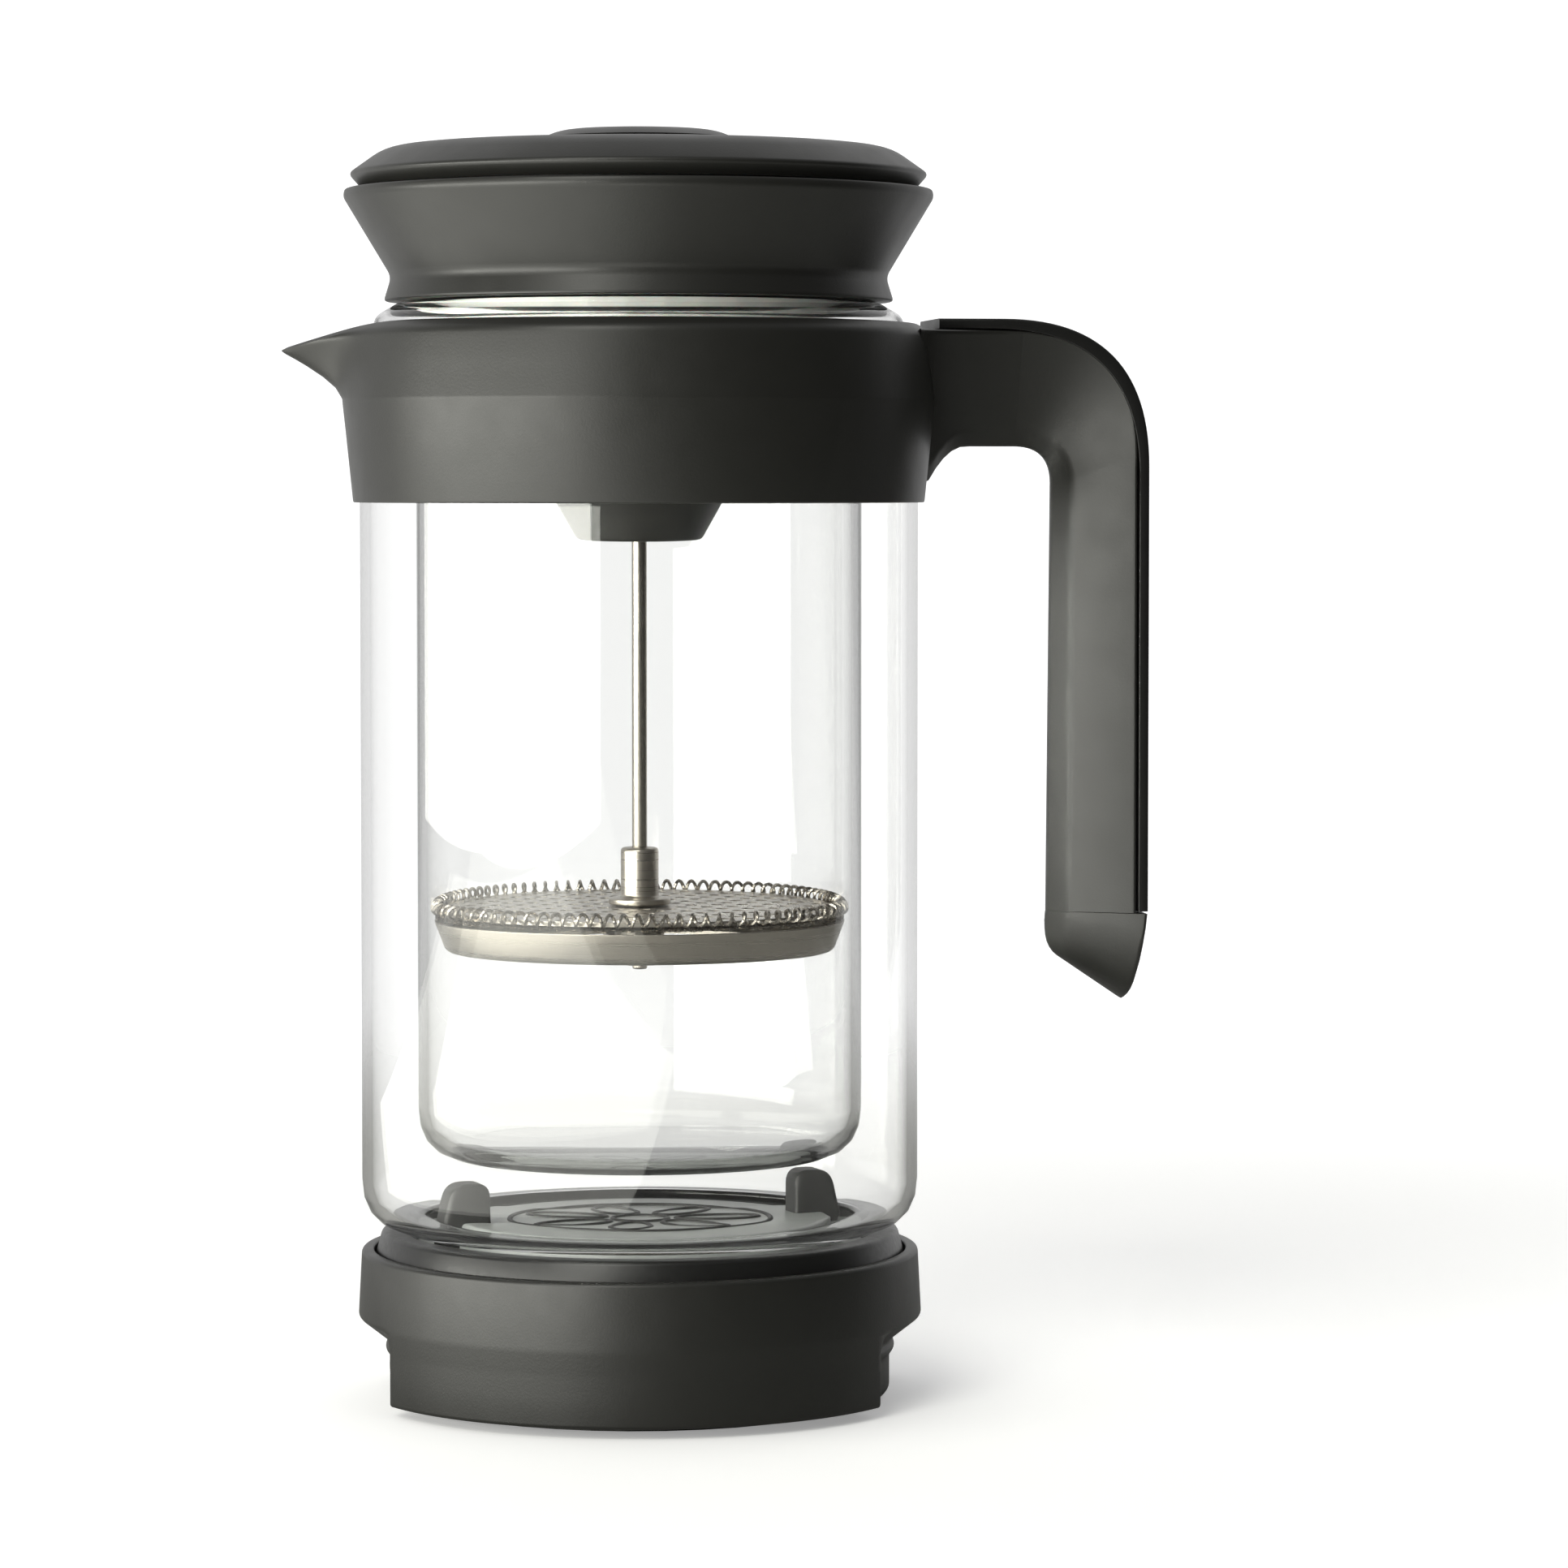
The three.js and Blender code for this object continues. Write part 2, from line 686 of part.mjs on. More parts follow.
// ---------------------------------------------------------------- plunger
function knobBody() {
  return revolve([
    [KNOB.socketR, KNOB.stubZ],
    [KNOB.stubR, KNOB.stubZ],
    [KNOB.stubR, KNOB.rimZ],
    [KNOB.r, KNOB.rimZ, 0.3],
    [KNOB.shoulderR, KNOB.topZ - 0.2, 2],
    [0, KNOB.topZ],
    [0, ROD.topZ + 0.4],
    [KNOB.socketR, ROD.topZ + 0.4],
  ]);
}

// The stamped pan under the mesh, its floor opened by windows that leave a cross.
function crossPlate() {
  const pan = revolve([
    [ROD.boreR, FILTER.panZ],
    [FILTER.panR, FILTER.panZ, 1.2],
    [FILTER.panTopR, FILTER.panTopZ],
    [FILTER.panTopR - FILTER.sheet, FILTER.panTopZ],
    [FILTER.panR - FILTER.sheet, FILTER.panZ + FILTER.sheet, 1],
    [ROD.boreR, FILTER.panZ + FILTER.sheet],
  ]);
  const step = (2 * Math.PI) / FILTER.windows;
  const windowShape = new THREE.Shape();
  windowShape.absarc(0, 0, FILTER.windowOuter, 0.14, step - 0.14, false);
  windowShape.absarc(0, 0, FILTER.windowInner, step - 0.5, 0.5, true);
  windowShape.closePath();
  const windows = Array.from({ length: FILTER.windows }, (_, i) =>
    planSlab(windowShape, FILTER.panZ - 2, FILTER.panZ + 2).rotateZ(i * step),
  );
  return cut(pan, ...windows);
}

const springEnvelope = () =>
  new THREE.TorusGeometry(FILTER.springR, FILTER.springWireR, 8, SEGMENTS)
    .rotateZ(Math.PI / 2)
    .translate(0, 0, FILTER.springZ);

const HEX_SIDES = 6;
const hubNut = () =>
  cut(
    disc(FILTER.nutR, FILTER.nutZ, FILTER.panZ - GAP, HEX_SIDES),
    disc(ROD.boreR, FILTER.nutZ - 1, FILTER.panZ + 1, SMALL_SEGMENTS),
  );

const plunger = new THREE.Group();
assembly.add(plunger);
add(plunger, "knob", knobBody(), PLASTIC);
add(
  plunger,
  "knob_insert",
  ring(ROD.boreR, KNOB.socketR - GAP, KNOB.stubZ + GAP, ROD.topZ + 0.1, SMALL_SEGMENTS),
  BRASS,
);
add(plunger, "rod", disc(ROD.r, ROD.bottomZ, ROD.topZ, SMALL_SEGMENTS), STEEL);
add(
  plunger,
  "hub_ferrule",
  revolve(
    [
      [ROD.boreR, FILTER.hubZ],
      [FILTER.hubFlangeR, FILTER.hubZ],
      [FILTER.hubFlangeR, FILTER.hubZ + 1.3, 0.4],
      [FILTER.hubR, FILTER.hubZ + 1.6],
      [FILTER.hubR, FILTER.hubTop, 0.8],
      [ROD.boreR, FILTER.hubTop],
    ],
    SMALL_SEGMENTS,
  ),
  STEEL,
);
add(
  plunger,
  "perforated_plate",
  ring(ROD.boreR, FILTER.plateR, FILTER.plateZ, FILTER.plateZ + FILTER.plateThick),
  STEEL,
);
add(plunger, "spring_coil", springEnvelope(), STEEL);
add(plunger, "mesh_screen", ring(ROD.boreR, FILTER.meshR, FILTER.meshZ, FILTER.meshZ + FILTER.meshThick), STEEL);
add(
  plunger,
  "hub_spacer",
  ring(ROD.boreR, FILTER.spacerR, FILTER.panZ + FILTER.sheet + GAP, FILTER.meshZ - GAP, SMALL_SEGMENTS),
  STEEL,
);
add(plunger, "cross_plate", crossPlate(), STEEL);
add(plunger, "hub_nut", hubNut(), STEEL);

export default assembly;
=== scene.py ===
"""A double-wall french press with a dripper funnel under its lid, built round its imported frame.

Lengths are in millimetres until a mesh is made, and every piece is made in the frame's own axes: Z up,
the handle along +X and the spout along -X.
"""

import math

import bmesh
import bpy
from bpy.props import FloatProperty, FloatVectorProperty, IntProperty, PointerProperty
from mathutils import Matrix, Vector


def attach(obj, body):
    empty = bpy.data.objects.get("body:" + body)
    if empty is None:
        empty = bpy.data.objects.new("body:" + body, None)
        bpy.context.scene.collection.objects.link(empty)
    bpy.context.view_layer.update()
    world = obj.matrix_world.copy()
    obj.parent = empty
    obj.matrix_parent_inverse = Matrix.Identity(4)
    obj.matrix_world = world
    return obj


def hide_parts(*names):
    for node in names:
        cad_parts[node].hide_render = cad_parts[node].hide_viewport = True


bl_info = {
    "name": "Double-Wall French Press",
    "version": (1, 0, 0),
    "blender": (4, 5, 0),
    "location": "3D View > Sidebar > French Press",
    "description": "Builds the pieces, finishes and studio of a double-wall french press",
    "category": "Object",
}

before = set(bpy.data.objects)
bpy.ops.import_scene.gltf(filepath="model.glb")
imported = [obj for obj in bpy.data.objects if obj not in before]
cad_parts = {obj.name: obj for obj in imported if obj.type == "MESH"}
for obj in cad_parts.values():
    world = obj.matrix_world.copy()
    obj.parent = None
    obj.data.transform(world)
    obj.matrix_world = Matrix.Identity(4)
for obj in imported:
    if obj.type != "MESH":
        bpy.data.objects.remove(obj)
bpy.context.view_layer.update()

MM = 0.001
ROUND_SEGMENTS = 192
SMALL_SEGMENTS = 48
ARC_STEPS = 5
CREASE_ANGLE = math.radians(28)
# Sides of round wires and lines, segments of circles, and steps of eased corners.
LINE_SIDES = 10
WIRE_SIDES = 6
WEAVE_SIDES = 4
NUT_SIDES = 6
PETAL_SEGMENTS = 40
RING_SEGMENTS = 128
PLATE_SEGMENTS = 144
BORE_SEGMENTS = 24
HOLE_SEGMENTS = 12
LOOP_EASE_STEPS = 4
TAB_EASE_STEPS = 6
TAB_EDGE_STEPS = 4
FLOOR_SEGMENTS = 96


# ---------------------------------------------------------------- sizes and colours a user may change
def count_property(name, description, default, low, high):
    return IntProperty(name=name, description=description, default=default, min=low, max=high)


def length_property(name, description, default, low=0.0, high=10.0):
    """A length in metres."""
    return FloatProperty(
        name=name, description=description, default=default, min=low, max=high, precision=5, unit="LENGTH"
    )


def colour_property(name, description, default):
    return FloatVectorProperty(
        name=name, description=description, default=default, subtype="COLOR", size=3, min=0.0, max=1.0
    )


def power_property(name, description, default):
    return FloatProperty(name=name, description=description, default=default, min=0.0, unit="POWER")


def strength_property(name, description, default):
    return FloatProperty(name=name, description=description, default=default, min=0.0)


class PressSizes(bpy.types.PropertyGroup):
    """Sizes and counts of the press's repeated details."""

    motif_petals: count_property("Motif Petals", "How many raised petals the deck disc carries", 7, 3, 24)
    funnel_ribs: count_property("Funnel Ribs", "How many drip ribs run down inside the funnel", 24, 6, 60)
    spring_turns: count_property("Spring Turns", "How many turns the filter's spring has", 96, 20, 160)
    spring_wire: length_property("Spring Wire", "Radius of the spring's wire", 0.36 * MM, 0.1 * MM, MM)
    hole_pitch: length_property("Hole Pitch", "Distance between drain holes", 5.2 * MM, 3 * MM, 12 * MM)
    hole_radius: length_property("Hole Radius", "Radius of each drain hole", 1.3 * MM, 0.5 * MM, 3 * MM)
    weave_pitch: length_property("Weave Pitch", "Distance between screen wires", 1.5 * MM, 0.8 * MM, 4 * MM)


class PressColours(bpy.types.PropertyGroup):
    """Linear colours of the press's finishes."""

    shell: colour_property("Shell Plastic", "Moulded plastic of the big pieces", (0.0105, 0.0105, 0.009))
    trim: colour_property("Trim Plastic", "Plastic of the spine and small pieces", (0.004, 0.004, 0.0037))
    tabs: colour_property("Tab Plastic", "Plastic of the two latch tabs", (0.0045, 0.0046, 0.0042))
    deck: colour_property("Deck Plastic", "Plastic of the deck disc", (0.2, 0.21, 0.205))
    rubber: colour_property("Rubber", "Foot pad and cradle ring", (0.0045, 0.0045, 0.0042))
    silicone: colour_property("Silicone", "Seals and gaskets", (0.62, 0.63, 0.6))
    steel: colour_property("Steel", "Rod and filter stack", (0.42, 0.39, 0.345))
    brass: colour_property("Brass", "Threaded insert in the knob", (0.62, 0.42, 0.16))
    glass: colour_property("Glass", "Tint of the jar and the beaker", (0.978, 0.98, 0.976))
    floor: colour_property("Floor", "Studio floor", (0.93, 0.93, 0.93))


class PressStudio(bpy.types.PropertyGroup):
    """Camera and light of the studio."""

    azimuth: FloatProperty(
        name="Camera Azimuth",
        description="Turn of the camera round the press, 0 in front",
        default=math.radians(-6.0),
        subtype="ANGLE",
    )
    distance: length_property("Camera Distance", "Level distance from the press's axis", 1.15, 0.3)
    height: length_property("Camera Height", "Height of the camera above the floor", 0.184)
    aim_height: length_property("Aim Height", "Height of the point the camera looks at", 0.1232)
    aim_side: length_property("Aim Side", "How far right of the axis the camera looks", 0.029, -1.0)
    lens: FloatProperty(
        name="Lens",
        description="Focal length on a 36 mm sensor",
        default=131.7,
        min=20.0,
        unit="CAMERA",
    )
    softbox_power: power_property("Softbox Power", "Power of the long softbox on the left", 15.0)
    card_power: power_property("Card Power", "Power of the lit card on the floor at the left", 4.5)
    key_strength: strength_property("Key Strength", "Strength of the soft key high in front", 1.4)
    dome_strength: strength_property("Dome Strength", "Brightness of the studio overhead", 0.3)


# ---------------------------------------------------------------- outlines and meshes
def rounded(corners, steps=ARC_STEPS):
    """Points of a closed outline through corners (x, y, ease), each corner eased by a parabola."""
    points = []
    for i, corner in enumerate(corners):
        here = Vector(corner[:2])
        ease = corner[2] if len(corner) > 2 else 0
        if not ease:
            points.append(here)
            continue
        before = Vector(corners[i - 1][:2])
        after = Vector(corners[(i + 1) % len(corners)][:2])
        start = here + (before - here).normalized() * ease
        end = here + (after - here).normalized() * ease
        for t in shares(steps):
            points.append(start * (1 - t) ** 2 + here * 2 * t * (1 - t) + end * t * t)
    return points


def shares(steps, first=0):
    """Even steps from 0 to 1."""
    return [i / steps for i in range(first, steps + 1)]


def even_angles(segments):
    return [2 * math.pi * j / segments for j in range(segments)]


def turned(profile, angles, place=None):
    """Vertices and faces of a closed (r, z) profile turned about Z. place may move each vertex."""
    place = place or (lambda r, z, angle: (r * math.cos(angle), r * math.sin(angle), z))
    vertices, rings = [], []
    for r, z in profile:
        at_pole = r < 1e-6
        ring_angles = angles[:1] if at_pole else angles
        rings.append([len(vertices) + j for j in range(len(ring_angles))])
        vertices.extend(place(r, z, angle) for angle in ring_angles)
    faces = []
    count = len(angles)
    for i, lower in enumerate(rings):
        upper = rings[(i + 1) % len(rings)]
        if len(lower) == 1 and len(upper) == 1:
            continue
        for j in range(count):
            k = (j + 1) % count
            quad = [
                lower[j % len(lower)],
                lower[k % len(lower)],
                upper[k % len(upper)],
                upper[j % len(upper)],
            ]
            faces.append(list(dict.fromkeys(quad)))
    return vertices, faces


def lofted(sections):
    """Vertices and faces of a closed skin over equal loops of points, capped at both ends."""
    size = len(sections[0])
    vertices = [point for section in sections for point in section]
    faces = [list(range(size))[::-1], list(range(len(vertices) - size, len(vertices)))]
    for s in range(len(sections) - 1):
        for j in range(size):
            k = (j + 1) % size
            faces.append([s * size + j, s * size + k, (s + 1) * size + k, (s + 1) * size + j])
    return vertices, faces


def face_outwards(mesh):
    """Turns a closed mesh right side out, and merges what coincides."""
    work = bmesh.new()
    work.from_mesh(mesh)
    bmesh.ops.remove_doubles(work, verts=work.verts, dist=1e-6)
    if work.calc_volume(signed=True) < 0:
        bmesh.ops.reverse_faces(work, faces=work.faces)
    work.to_mesh(mesh)
    work.free()


def shade(mesh, angle=CREASE_ANGLE):
    mesh.polygons.foreach_set("use_smooth", [True] * len(mesh.polygons))
    mesh.set_sharp_from_angle(angle=angle)
    mesh.update()


def mesh_object(name, shape):
    """An object at the origin from (vertices in mm, faces)."""
    vertices, faces = shape
    mesh = bpy.data.meshes.new(name)
    mesh.from_pydata([Vector(v) * MM for v in vertices], [], faces)
    face_outwards(mesh)
    made = bpy.data.objects.new(name, mesh)
    bpy.context.scene.collection.objects.link(made)
    return made


FINISH = {}


def finish_named(name):
    """A finish that the Finishes operator has mixed."""
    if name not in FINISH:
        raise RuntimeError(f"the {name} finish isn't mixed yet: the Finishes operator comes first")
    return FINISH[name]


def seat(piece, body, finish, *nodes):
    """Shades a finished piece, gives it its finish and body, and hides the CAD nodes it stands for."""
    piece.data.materials.clear()
    piece.data.materials.append(finish_named(finish))
    shade(piece.data)
    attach(piece, body)
    if nodes:
        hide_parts(*nodes)


def turned_shape(corners, segments=ROUND_SEGMENTS):
    """A ring or disc about Z through (r, z, ease) corners."""
    return turned(rounded(corners), even_angles(segments))


def turned_piece(name, corners, body, finish, segments=ROUND_SEGMENTS):
    """A ring or disc about Z that stands for the CAD node of the same name."""
    seat(mesh_object(name + "_fine", turned_shape(corners, segments)), body, finish, name)


def combine(first, second, operation):
    """Joins second onto first, or cuts it away, and leaves first one plain mesh."""
    modifier = first.modifiers.new("combine", "BOOLEAN")
    modifier.object = second
    modifier.operation = operation
    modifier.solver = "EXACT"
    settle(first)
    bpy.data.objects.remove(second)


def settle(piece):
    """Replaces a piece's mesh by what its modifiers make of it, and removes them."""
    graph = bpy.context.evaluated_depsgraph_get()
    mesh = bpy.data.meshes.new_from_object(piece.evaluated_get(graph))
    piece.modifiers.clear()
    piece.data = mesh
    mesh.name = piece.name


# ---------------------------------------------------------------- node tree helpers
def add_node(tree, kind, settings=None, inputs=None):
    """A node with its settings, and its inputs set to values or linked from sockets."""
    node = tree.nodes.new(kind)
    for key, value in (settings or {}).items():
        setattr(node, key, value)
    for key, value in (inputs or {}).items():
        if isinstance(value, bpy.types.NodeSocket):
            tree.links.new(value, node.inputs[key])
        else:
            node.inputs[key].default_value = value
    return node


def result(tree, kind, **inputs):
    """The first output of a node whose inputs are given by their names in small letters."""
    named = {key.replace("_", " ").title(): value for key, value in inputs.items()}
    return add_node(tree, kind, inputs=named).outputs[0]


def calculate(tree, operation, first, second=0.0):
    """The output of a Math node."""
    return add_node(tree, "ShaderNodeMath", {"operation": operation}, {0: first, 1: second}).outputs[0]


def vector(tree, x=0.0, y=0.0, z=0.0):
    return add_node(tree, "ShaderNodeCombineXYZ", inputs={0: x, 1: y, 2: z}).outputs[0]


def vector_length(tree, given):
    return add_node(tree, "ShaderNodeVectorMath", {"operation": "LENGTH"}, {0: given}).outputs["Value"]


def circle_curve(tree, radius, resolution):
    return result(tree, "GeometryNodeCurvePrimitiveCircle", resolution=resolution, radius=radius)


def tube(tree, curve, radius, sides, caps=False):
    """A round bar along a curve."""
    section = circle_curve(tree, radius, sides)
    return result(tree, "GeometryNodeCurveToMesh", curve=curve, profile_curve=section, fill_caps=caps)


def joined(tree, *parts):
    join = add_node(tree, "GeometryNodeJoinGeometry")
    for part in parts:
        tree.links.new(part, join.inputs[0])
    return join.outputs[0]


def realized(tree, geometry):
    return result(tree, "GeometryNodeRealizeInstances", geometry=geometry)


def raised(tree, geometry, level):
    """The geometry moved up by a level."""
    return result(tree, "GeometryNodeTransform", geometry=geometry, translation=vector(tree, z=level))


def index_of_each(tree):
    return add_node(tree, "GeometryNodeInputIndex").outputs[0]


def turn_of_each(tree, count):
    """The rotation that spreads count copies evenly about Z."""
    step = calculate(tree, "DIVIDE", 2 * math.pi, count)
    return vector(tree, z=calculate(tree, "MULTIPLY", index_of_each(tree), step))


SOCKET_KINDS = {"int": "NodeSocketInt", "length": "NodeSocketFloat", "material": "NodeSocketMaterial"}


def growing_tree(name, **sockets):
    """A Geometry Nodes tree with inputs named by the keywords. Gives it and its Group Input's outputs."""
    tree = bpy.data.node_groups.new(name, "GeometryNodeTree")
    for label, kind in {**sockets, "finish": "material"}.items():
        title = label.replace("_", " ").title()
        tree.interface.new_socket(title, in_out="INPUT", socket_type=SOCKET_KINDS[kind])
    tree.interface.new_socket("Geometry", in_out="OUTPUT", socket_type="NodeSocketGeometry")
    return tree, tree.nodes.new("NodeGroupInput").outputs


def in_metres(sizes):
    return {name: size * MM for name, size in sizes.items()}


def end_tree(tree, geometry, material):
    """Ends a tree in Realize Instances and Set Material."""
    painted = result(
        tree, "GeometryNodeSetMaterial", geometry=realized(tree, geometry), material=material
    )
    add_node(tree, "NodeGroupOutput", inputs={"Geometry": painted})


def grown(name, tree, finish, **values):
    """The plain mesh object that a tree grows from its finish and its input values."""
    piece = bpy.data.objects.new(name, bpy.data.meshes.new(name))
    bpy.context.scene.collection.objects.link(piece)
    modifier = piece.modifiers.new("grow", "NODES")
    modifier.node_group = tree
    given = {**values, "finish": finish_named(finish)}
    for item in tree.interface.items_tree:
        if item.in_out == "INPUT":
            modifier[item.identifier] = given[item.name.lower().replace(" ", "_")]
    settle(piece)
    face_outwards(piece.data)
    return piece


def blended(tree, share, first, second):
    """The output of a Mix Shader node: first where share is 0, second where it is 1."""
    return add_node(tree, "ShaderNodeMixShader", inputs={0: share, 1: first, 2: second}).outputs[0]


def seen_straight(tree):
    """1 for a ray that has come from the camera by way of nothing but clear glass, else 0."""
    ray = add_node(tree, "ShaderNodeLightPath").outputs
    bounces = calculate(tree, "ADD", ray["Diffuse Depth"], ray["Glossy Depth"])
    return calculate(tree, "LESS_THAN", bounces, 0.5)


# ---------------------------------------------------------------- finishes
def new_finish(name):
    """A material with its tree, its Principled shader and its Object coordinates."""
    finish = bpy.data.materials.new(name)
    finish.use_nodes = True
    tree = finish.node_tree
    shader = tree.nodes["Principled BSDF"]
    coordinates = add_node(tree, "ShaderNodeTexCoord").outputs["Object"]
    return finish, tree, shader, coordinates


def noise(tree, place, scale, detail=2.0):
    return result(tree, "ShaderNodeTexNoise", vector=place, scale=scale, detail=detail)


def ranged(tree, value, low, high):
    return result(tree, "ShaderNodeMapRange", value=value, to_min=low, to_max=high)


def tinted(tree, colour, amount, value):
    """The colour made darker and lighter by amount, as value goes from 0 to 1."""
    dark = [c * (1 - amount) for c in colour] + [1.0]
    light = [min(1.0, c * (1 + amount)) for c in colour] + [1.0]
    mix = add_node(tree, "ShaderNodeMix", {"data_type": "RGBA"}, {0: value})
    mix.inputs[6].default_value = dark
    mix.inputs[7].default_value = light
    return mix.outputs[2]


def bumped(tree, height, strength, distance):
    return result(tree, "ShaderNodeBump", strength=strength, distance=distance, height=height)


def plastic_finish(name, colour, roughness=0.42, grain=2200.0, depth=0.05):
    """Moulded plastic with a fine spark-eroded grain, faint flow marks and a soft sheen."""
    finish, tree, shader, place = new_finish(name)
    flow = noise(tree, place, 28.0, 3.0)
    fine = noise(tree, place, grain, 2.0)
    scuff = noise(tree, place, 140.0, 4.0)
    tree.links.new(tinted(tree, colour, 0.1, flow), shader.inputs["Base Color"])
    tree.links.new(ranged(tree, scuff, roughness - 0.06, roughness + 0.06), shader.inputs["Roughness"])
    tree.links.new(bumped(tree, fine, 0.35, depth * MM), shader.inputs["Normal"])
    return finish


def soft_finish(name, colour, roughness, through=0.0):
    """Rubber or silicone: matt, slightly blotchy, and dusty where it is rough."""
    finish, tree, shader, place = new_finish(name)
    blotch = noise(tree, place, 55.0, 4.0)
    skin = noise(tree, place, 900.0, 3.0)
    tree.links.new(tinted(tree, colour, 0.15, blotch), shader.inputs["Base Color"])
    tree.links.new(ranged(tree, skin, roughness - 0.1, roughness + 0.1), shader.inputs["Roughness"])
    tree.links.new(bumped(tree, skin, 0.2, 0.05 * MM), shader.inputs["Normal"])
    shader.inputs["Subsurface Weight"].default_value = through
    shader.inputs["Subsurface Scale"].default_value = 1.5 * MM
    return finish


def metal_finish(name, colour, roughness, lines):
    """Metal with fine machining lines: lines turns the Object coordinates into the noise's vector."""
    finish, tree, shader, place = new_finish(name)
    shader.inputs["Metallic"].default_value = 1.0
    brushed = noise(tree, lines(tree, place), 1.0, 4.0)
    cloud = noise(tree, place, 40.0, 2.0)
    tree.links.new(tinted(tree, colour, 0.08, cloud), shader.inputs["Base Color"])
    tree.links.new(ranged(tree, brushed, roughness - 0.08, roughness + 0.14), shader.inputs["Roughness"])
    tree.links.new(bumped(tree, brushed, 0.25, 0.03 * MM), shader.inputs["Normal"])
    return finish


def turned_lines(tree, place):
    """Rings about Z, as a lathe leaves them."""
    parts = add_node(tree, "ShaderNodeSeparateXYZ", inputs={0: place})
    squares = [calculate(tree, "POWER", parts.outputs[i], 2.0) for i in (0, 1)]
    radius = calculate(tree, "SQRT", calculate(tree, "ADD", *squares))
    rings = calculate(tree, "MULTIPLY", radius, 4200.0)
    heights = calculate(tree, "MULTIPLY", parts.outputs[2], 1500.0)
    return vector(tree, x=rings, z=heights)


def drawn_lines(tree, place):
    """Lines along Z, as drawn wire and rod have."""
    mapping = add_node(tree, "ShaderNodeMapping", inputs={"Vector": place})
    mapping.inputs["Scale"].default_value = (4000.0, 4000.0, 60.0)
    return mapping.outputs[0]


GLASS_IOR = 1.38
GLASS_HAZE = 0.015


def glass_finish(name, colour):
    """Clear blown glass with a faint waviness. Lamps shine through it unbent."""
    finish, tree, shader, place = new_finish(name)
    shader.inputs["Base Color"].default_value = (*colour, 1.0)
    shader.inputs["Transmission Weight"].default_value = 1.0
    shader.inputs["IOR"].default_value = GLASS_IOR
    waves = noise(tree, place, 26.0, 1.0)
    tree.links.new(ranged(tree, waves, 0.0, GLASS_HAZE), shader.inputs["Roughness"])
    clear = add_node(tree, "ShaderNodeBsdfTransparent").outputs[0]
    shadow = add_node(tree, "ShaderNodeLightPath").outputs["Is Shadow Ray"]
    mixed = blended(tree, shadow, shader.outputs[0], clear)
    tree.links.new(mixed, tree.nodes["Material Output"].inputs["Surface"])
    return finish


class PRESS_OT_finishes(bpy.types.Operator):
    """Mixes the press's finishes"""

    bl_idname = "press.finishes"
    bl_label = "Finishes"

    def execute(self, context):
        c = context.scene.press_colours
        FINISH["shell"] = plastic_finish("shell plastic", c.shell)
        FINISH["trim"] = plastic_finish("trim plastic", c.trim, roughness=0.38)
        FINISH["tabs"] = plastic_finish("tab plastic", c.tabs, roughness=0.5)
        FINISH["deck"] = plastic_finish("deck plastic", c.deck, roughness=0.34)
        FINISH["rubber"] = soft_finish("rubber", c.rubber, 0.35)
        FINISH["silicone"] = soft_finish("silicone", c.silicone, 0.5, through=0.3)
        FINISH["turned"] = metal_finish("turned steel", c.steel, 0.26, turned_lines)
        FINISH["drawn"] = metal_finish("drawn steel", c.steel, 0.22, drawn_lines)
        FINISH["brass"] = metal_finish("turned brass", c.brass, 0.3, turned_lines)
        FINISH["glass"] = glass_finish("clear glass", c.glass)
        for node, finish in CAD_FINISHES.items():
            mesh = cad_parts[node].data
            mesh.materials.clear()
            mesh.materials.append(FINISH[finish])
        return {"FINISHED"}


CAD_FINISHES = {
    "foot_pad": "rubber",
    "neck_seal": "silicone",
    "collar_gasket": "silicone",
    "funnel_gasket": "silicone",
    "lid_seal": "silicone",
    "rod_guide": "trim",
    "rod_bush": "trim",
    "knob_insert": "brass",
    "hub_spacer": "turned",
}


# ---------------------------------------------------------------- base
BASE = {
    "foot_r": 46.3,
    "foot_z": 1.0,
    "foot_top": 2.3,
    "stem_r": 50.2,
    "rim_r": 55.9,
    "rim_z": 30.2,
    "mouth_r": 53.4,
    "channel_r": 46.7,
    "channel_z": 26.0,
    "ledge_r": 44.0,
    "ledge_z": 28.1,
    "floor_z": 5.0,
    "recess_angle": math.radians(28.5),
    "recess_turn": math.radians(-8),
    "recess_ease": math.radians(3),
}
WALL_EASE = 0.7
CUP_FRONT = [(56.5, 2.0), (56.5, 8.7), (56.5, 10.2), (56.5, 12.2), (56.6, 16.8)]
CUP_SIDE = [(50.2, 2.0), (50.2, 8.7), (51.3, 10.2), (50.7, 12.2), (56.6, 16.8)]


def grip_share(angle):
    """0 on the cup's full front and back, 1 in the grip recess at each side, eased between them."""
    from_side = abs(math.remainder(angle - BASE["recess_turn"], math.pi))
    ease = BASE["recess_ease"]
    t = (BASE["recess_angle"] + ease - from_side) / (2 * ease)
    t = min(1.0, max(0.0, t))
    return t * t * (3 - 2 * t)


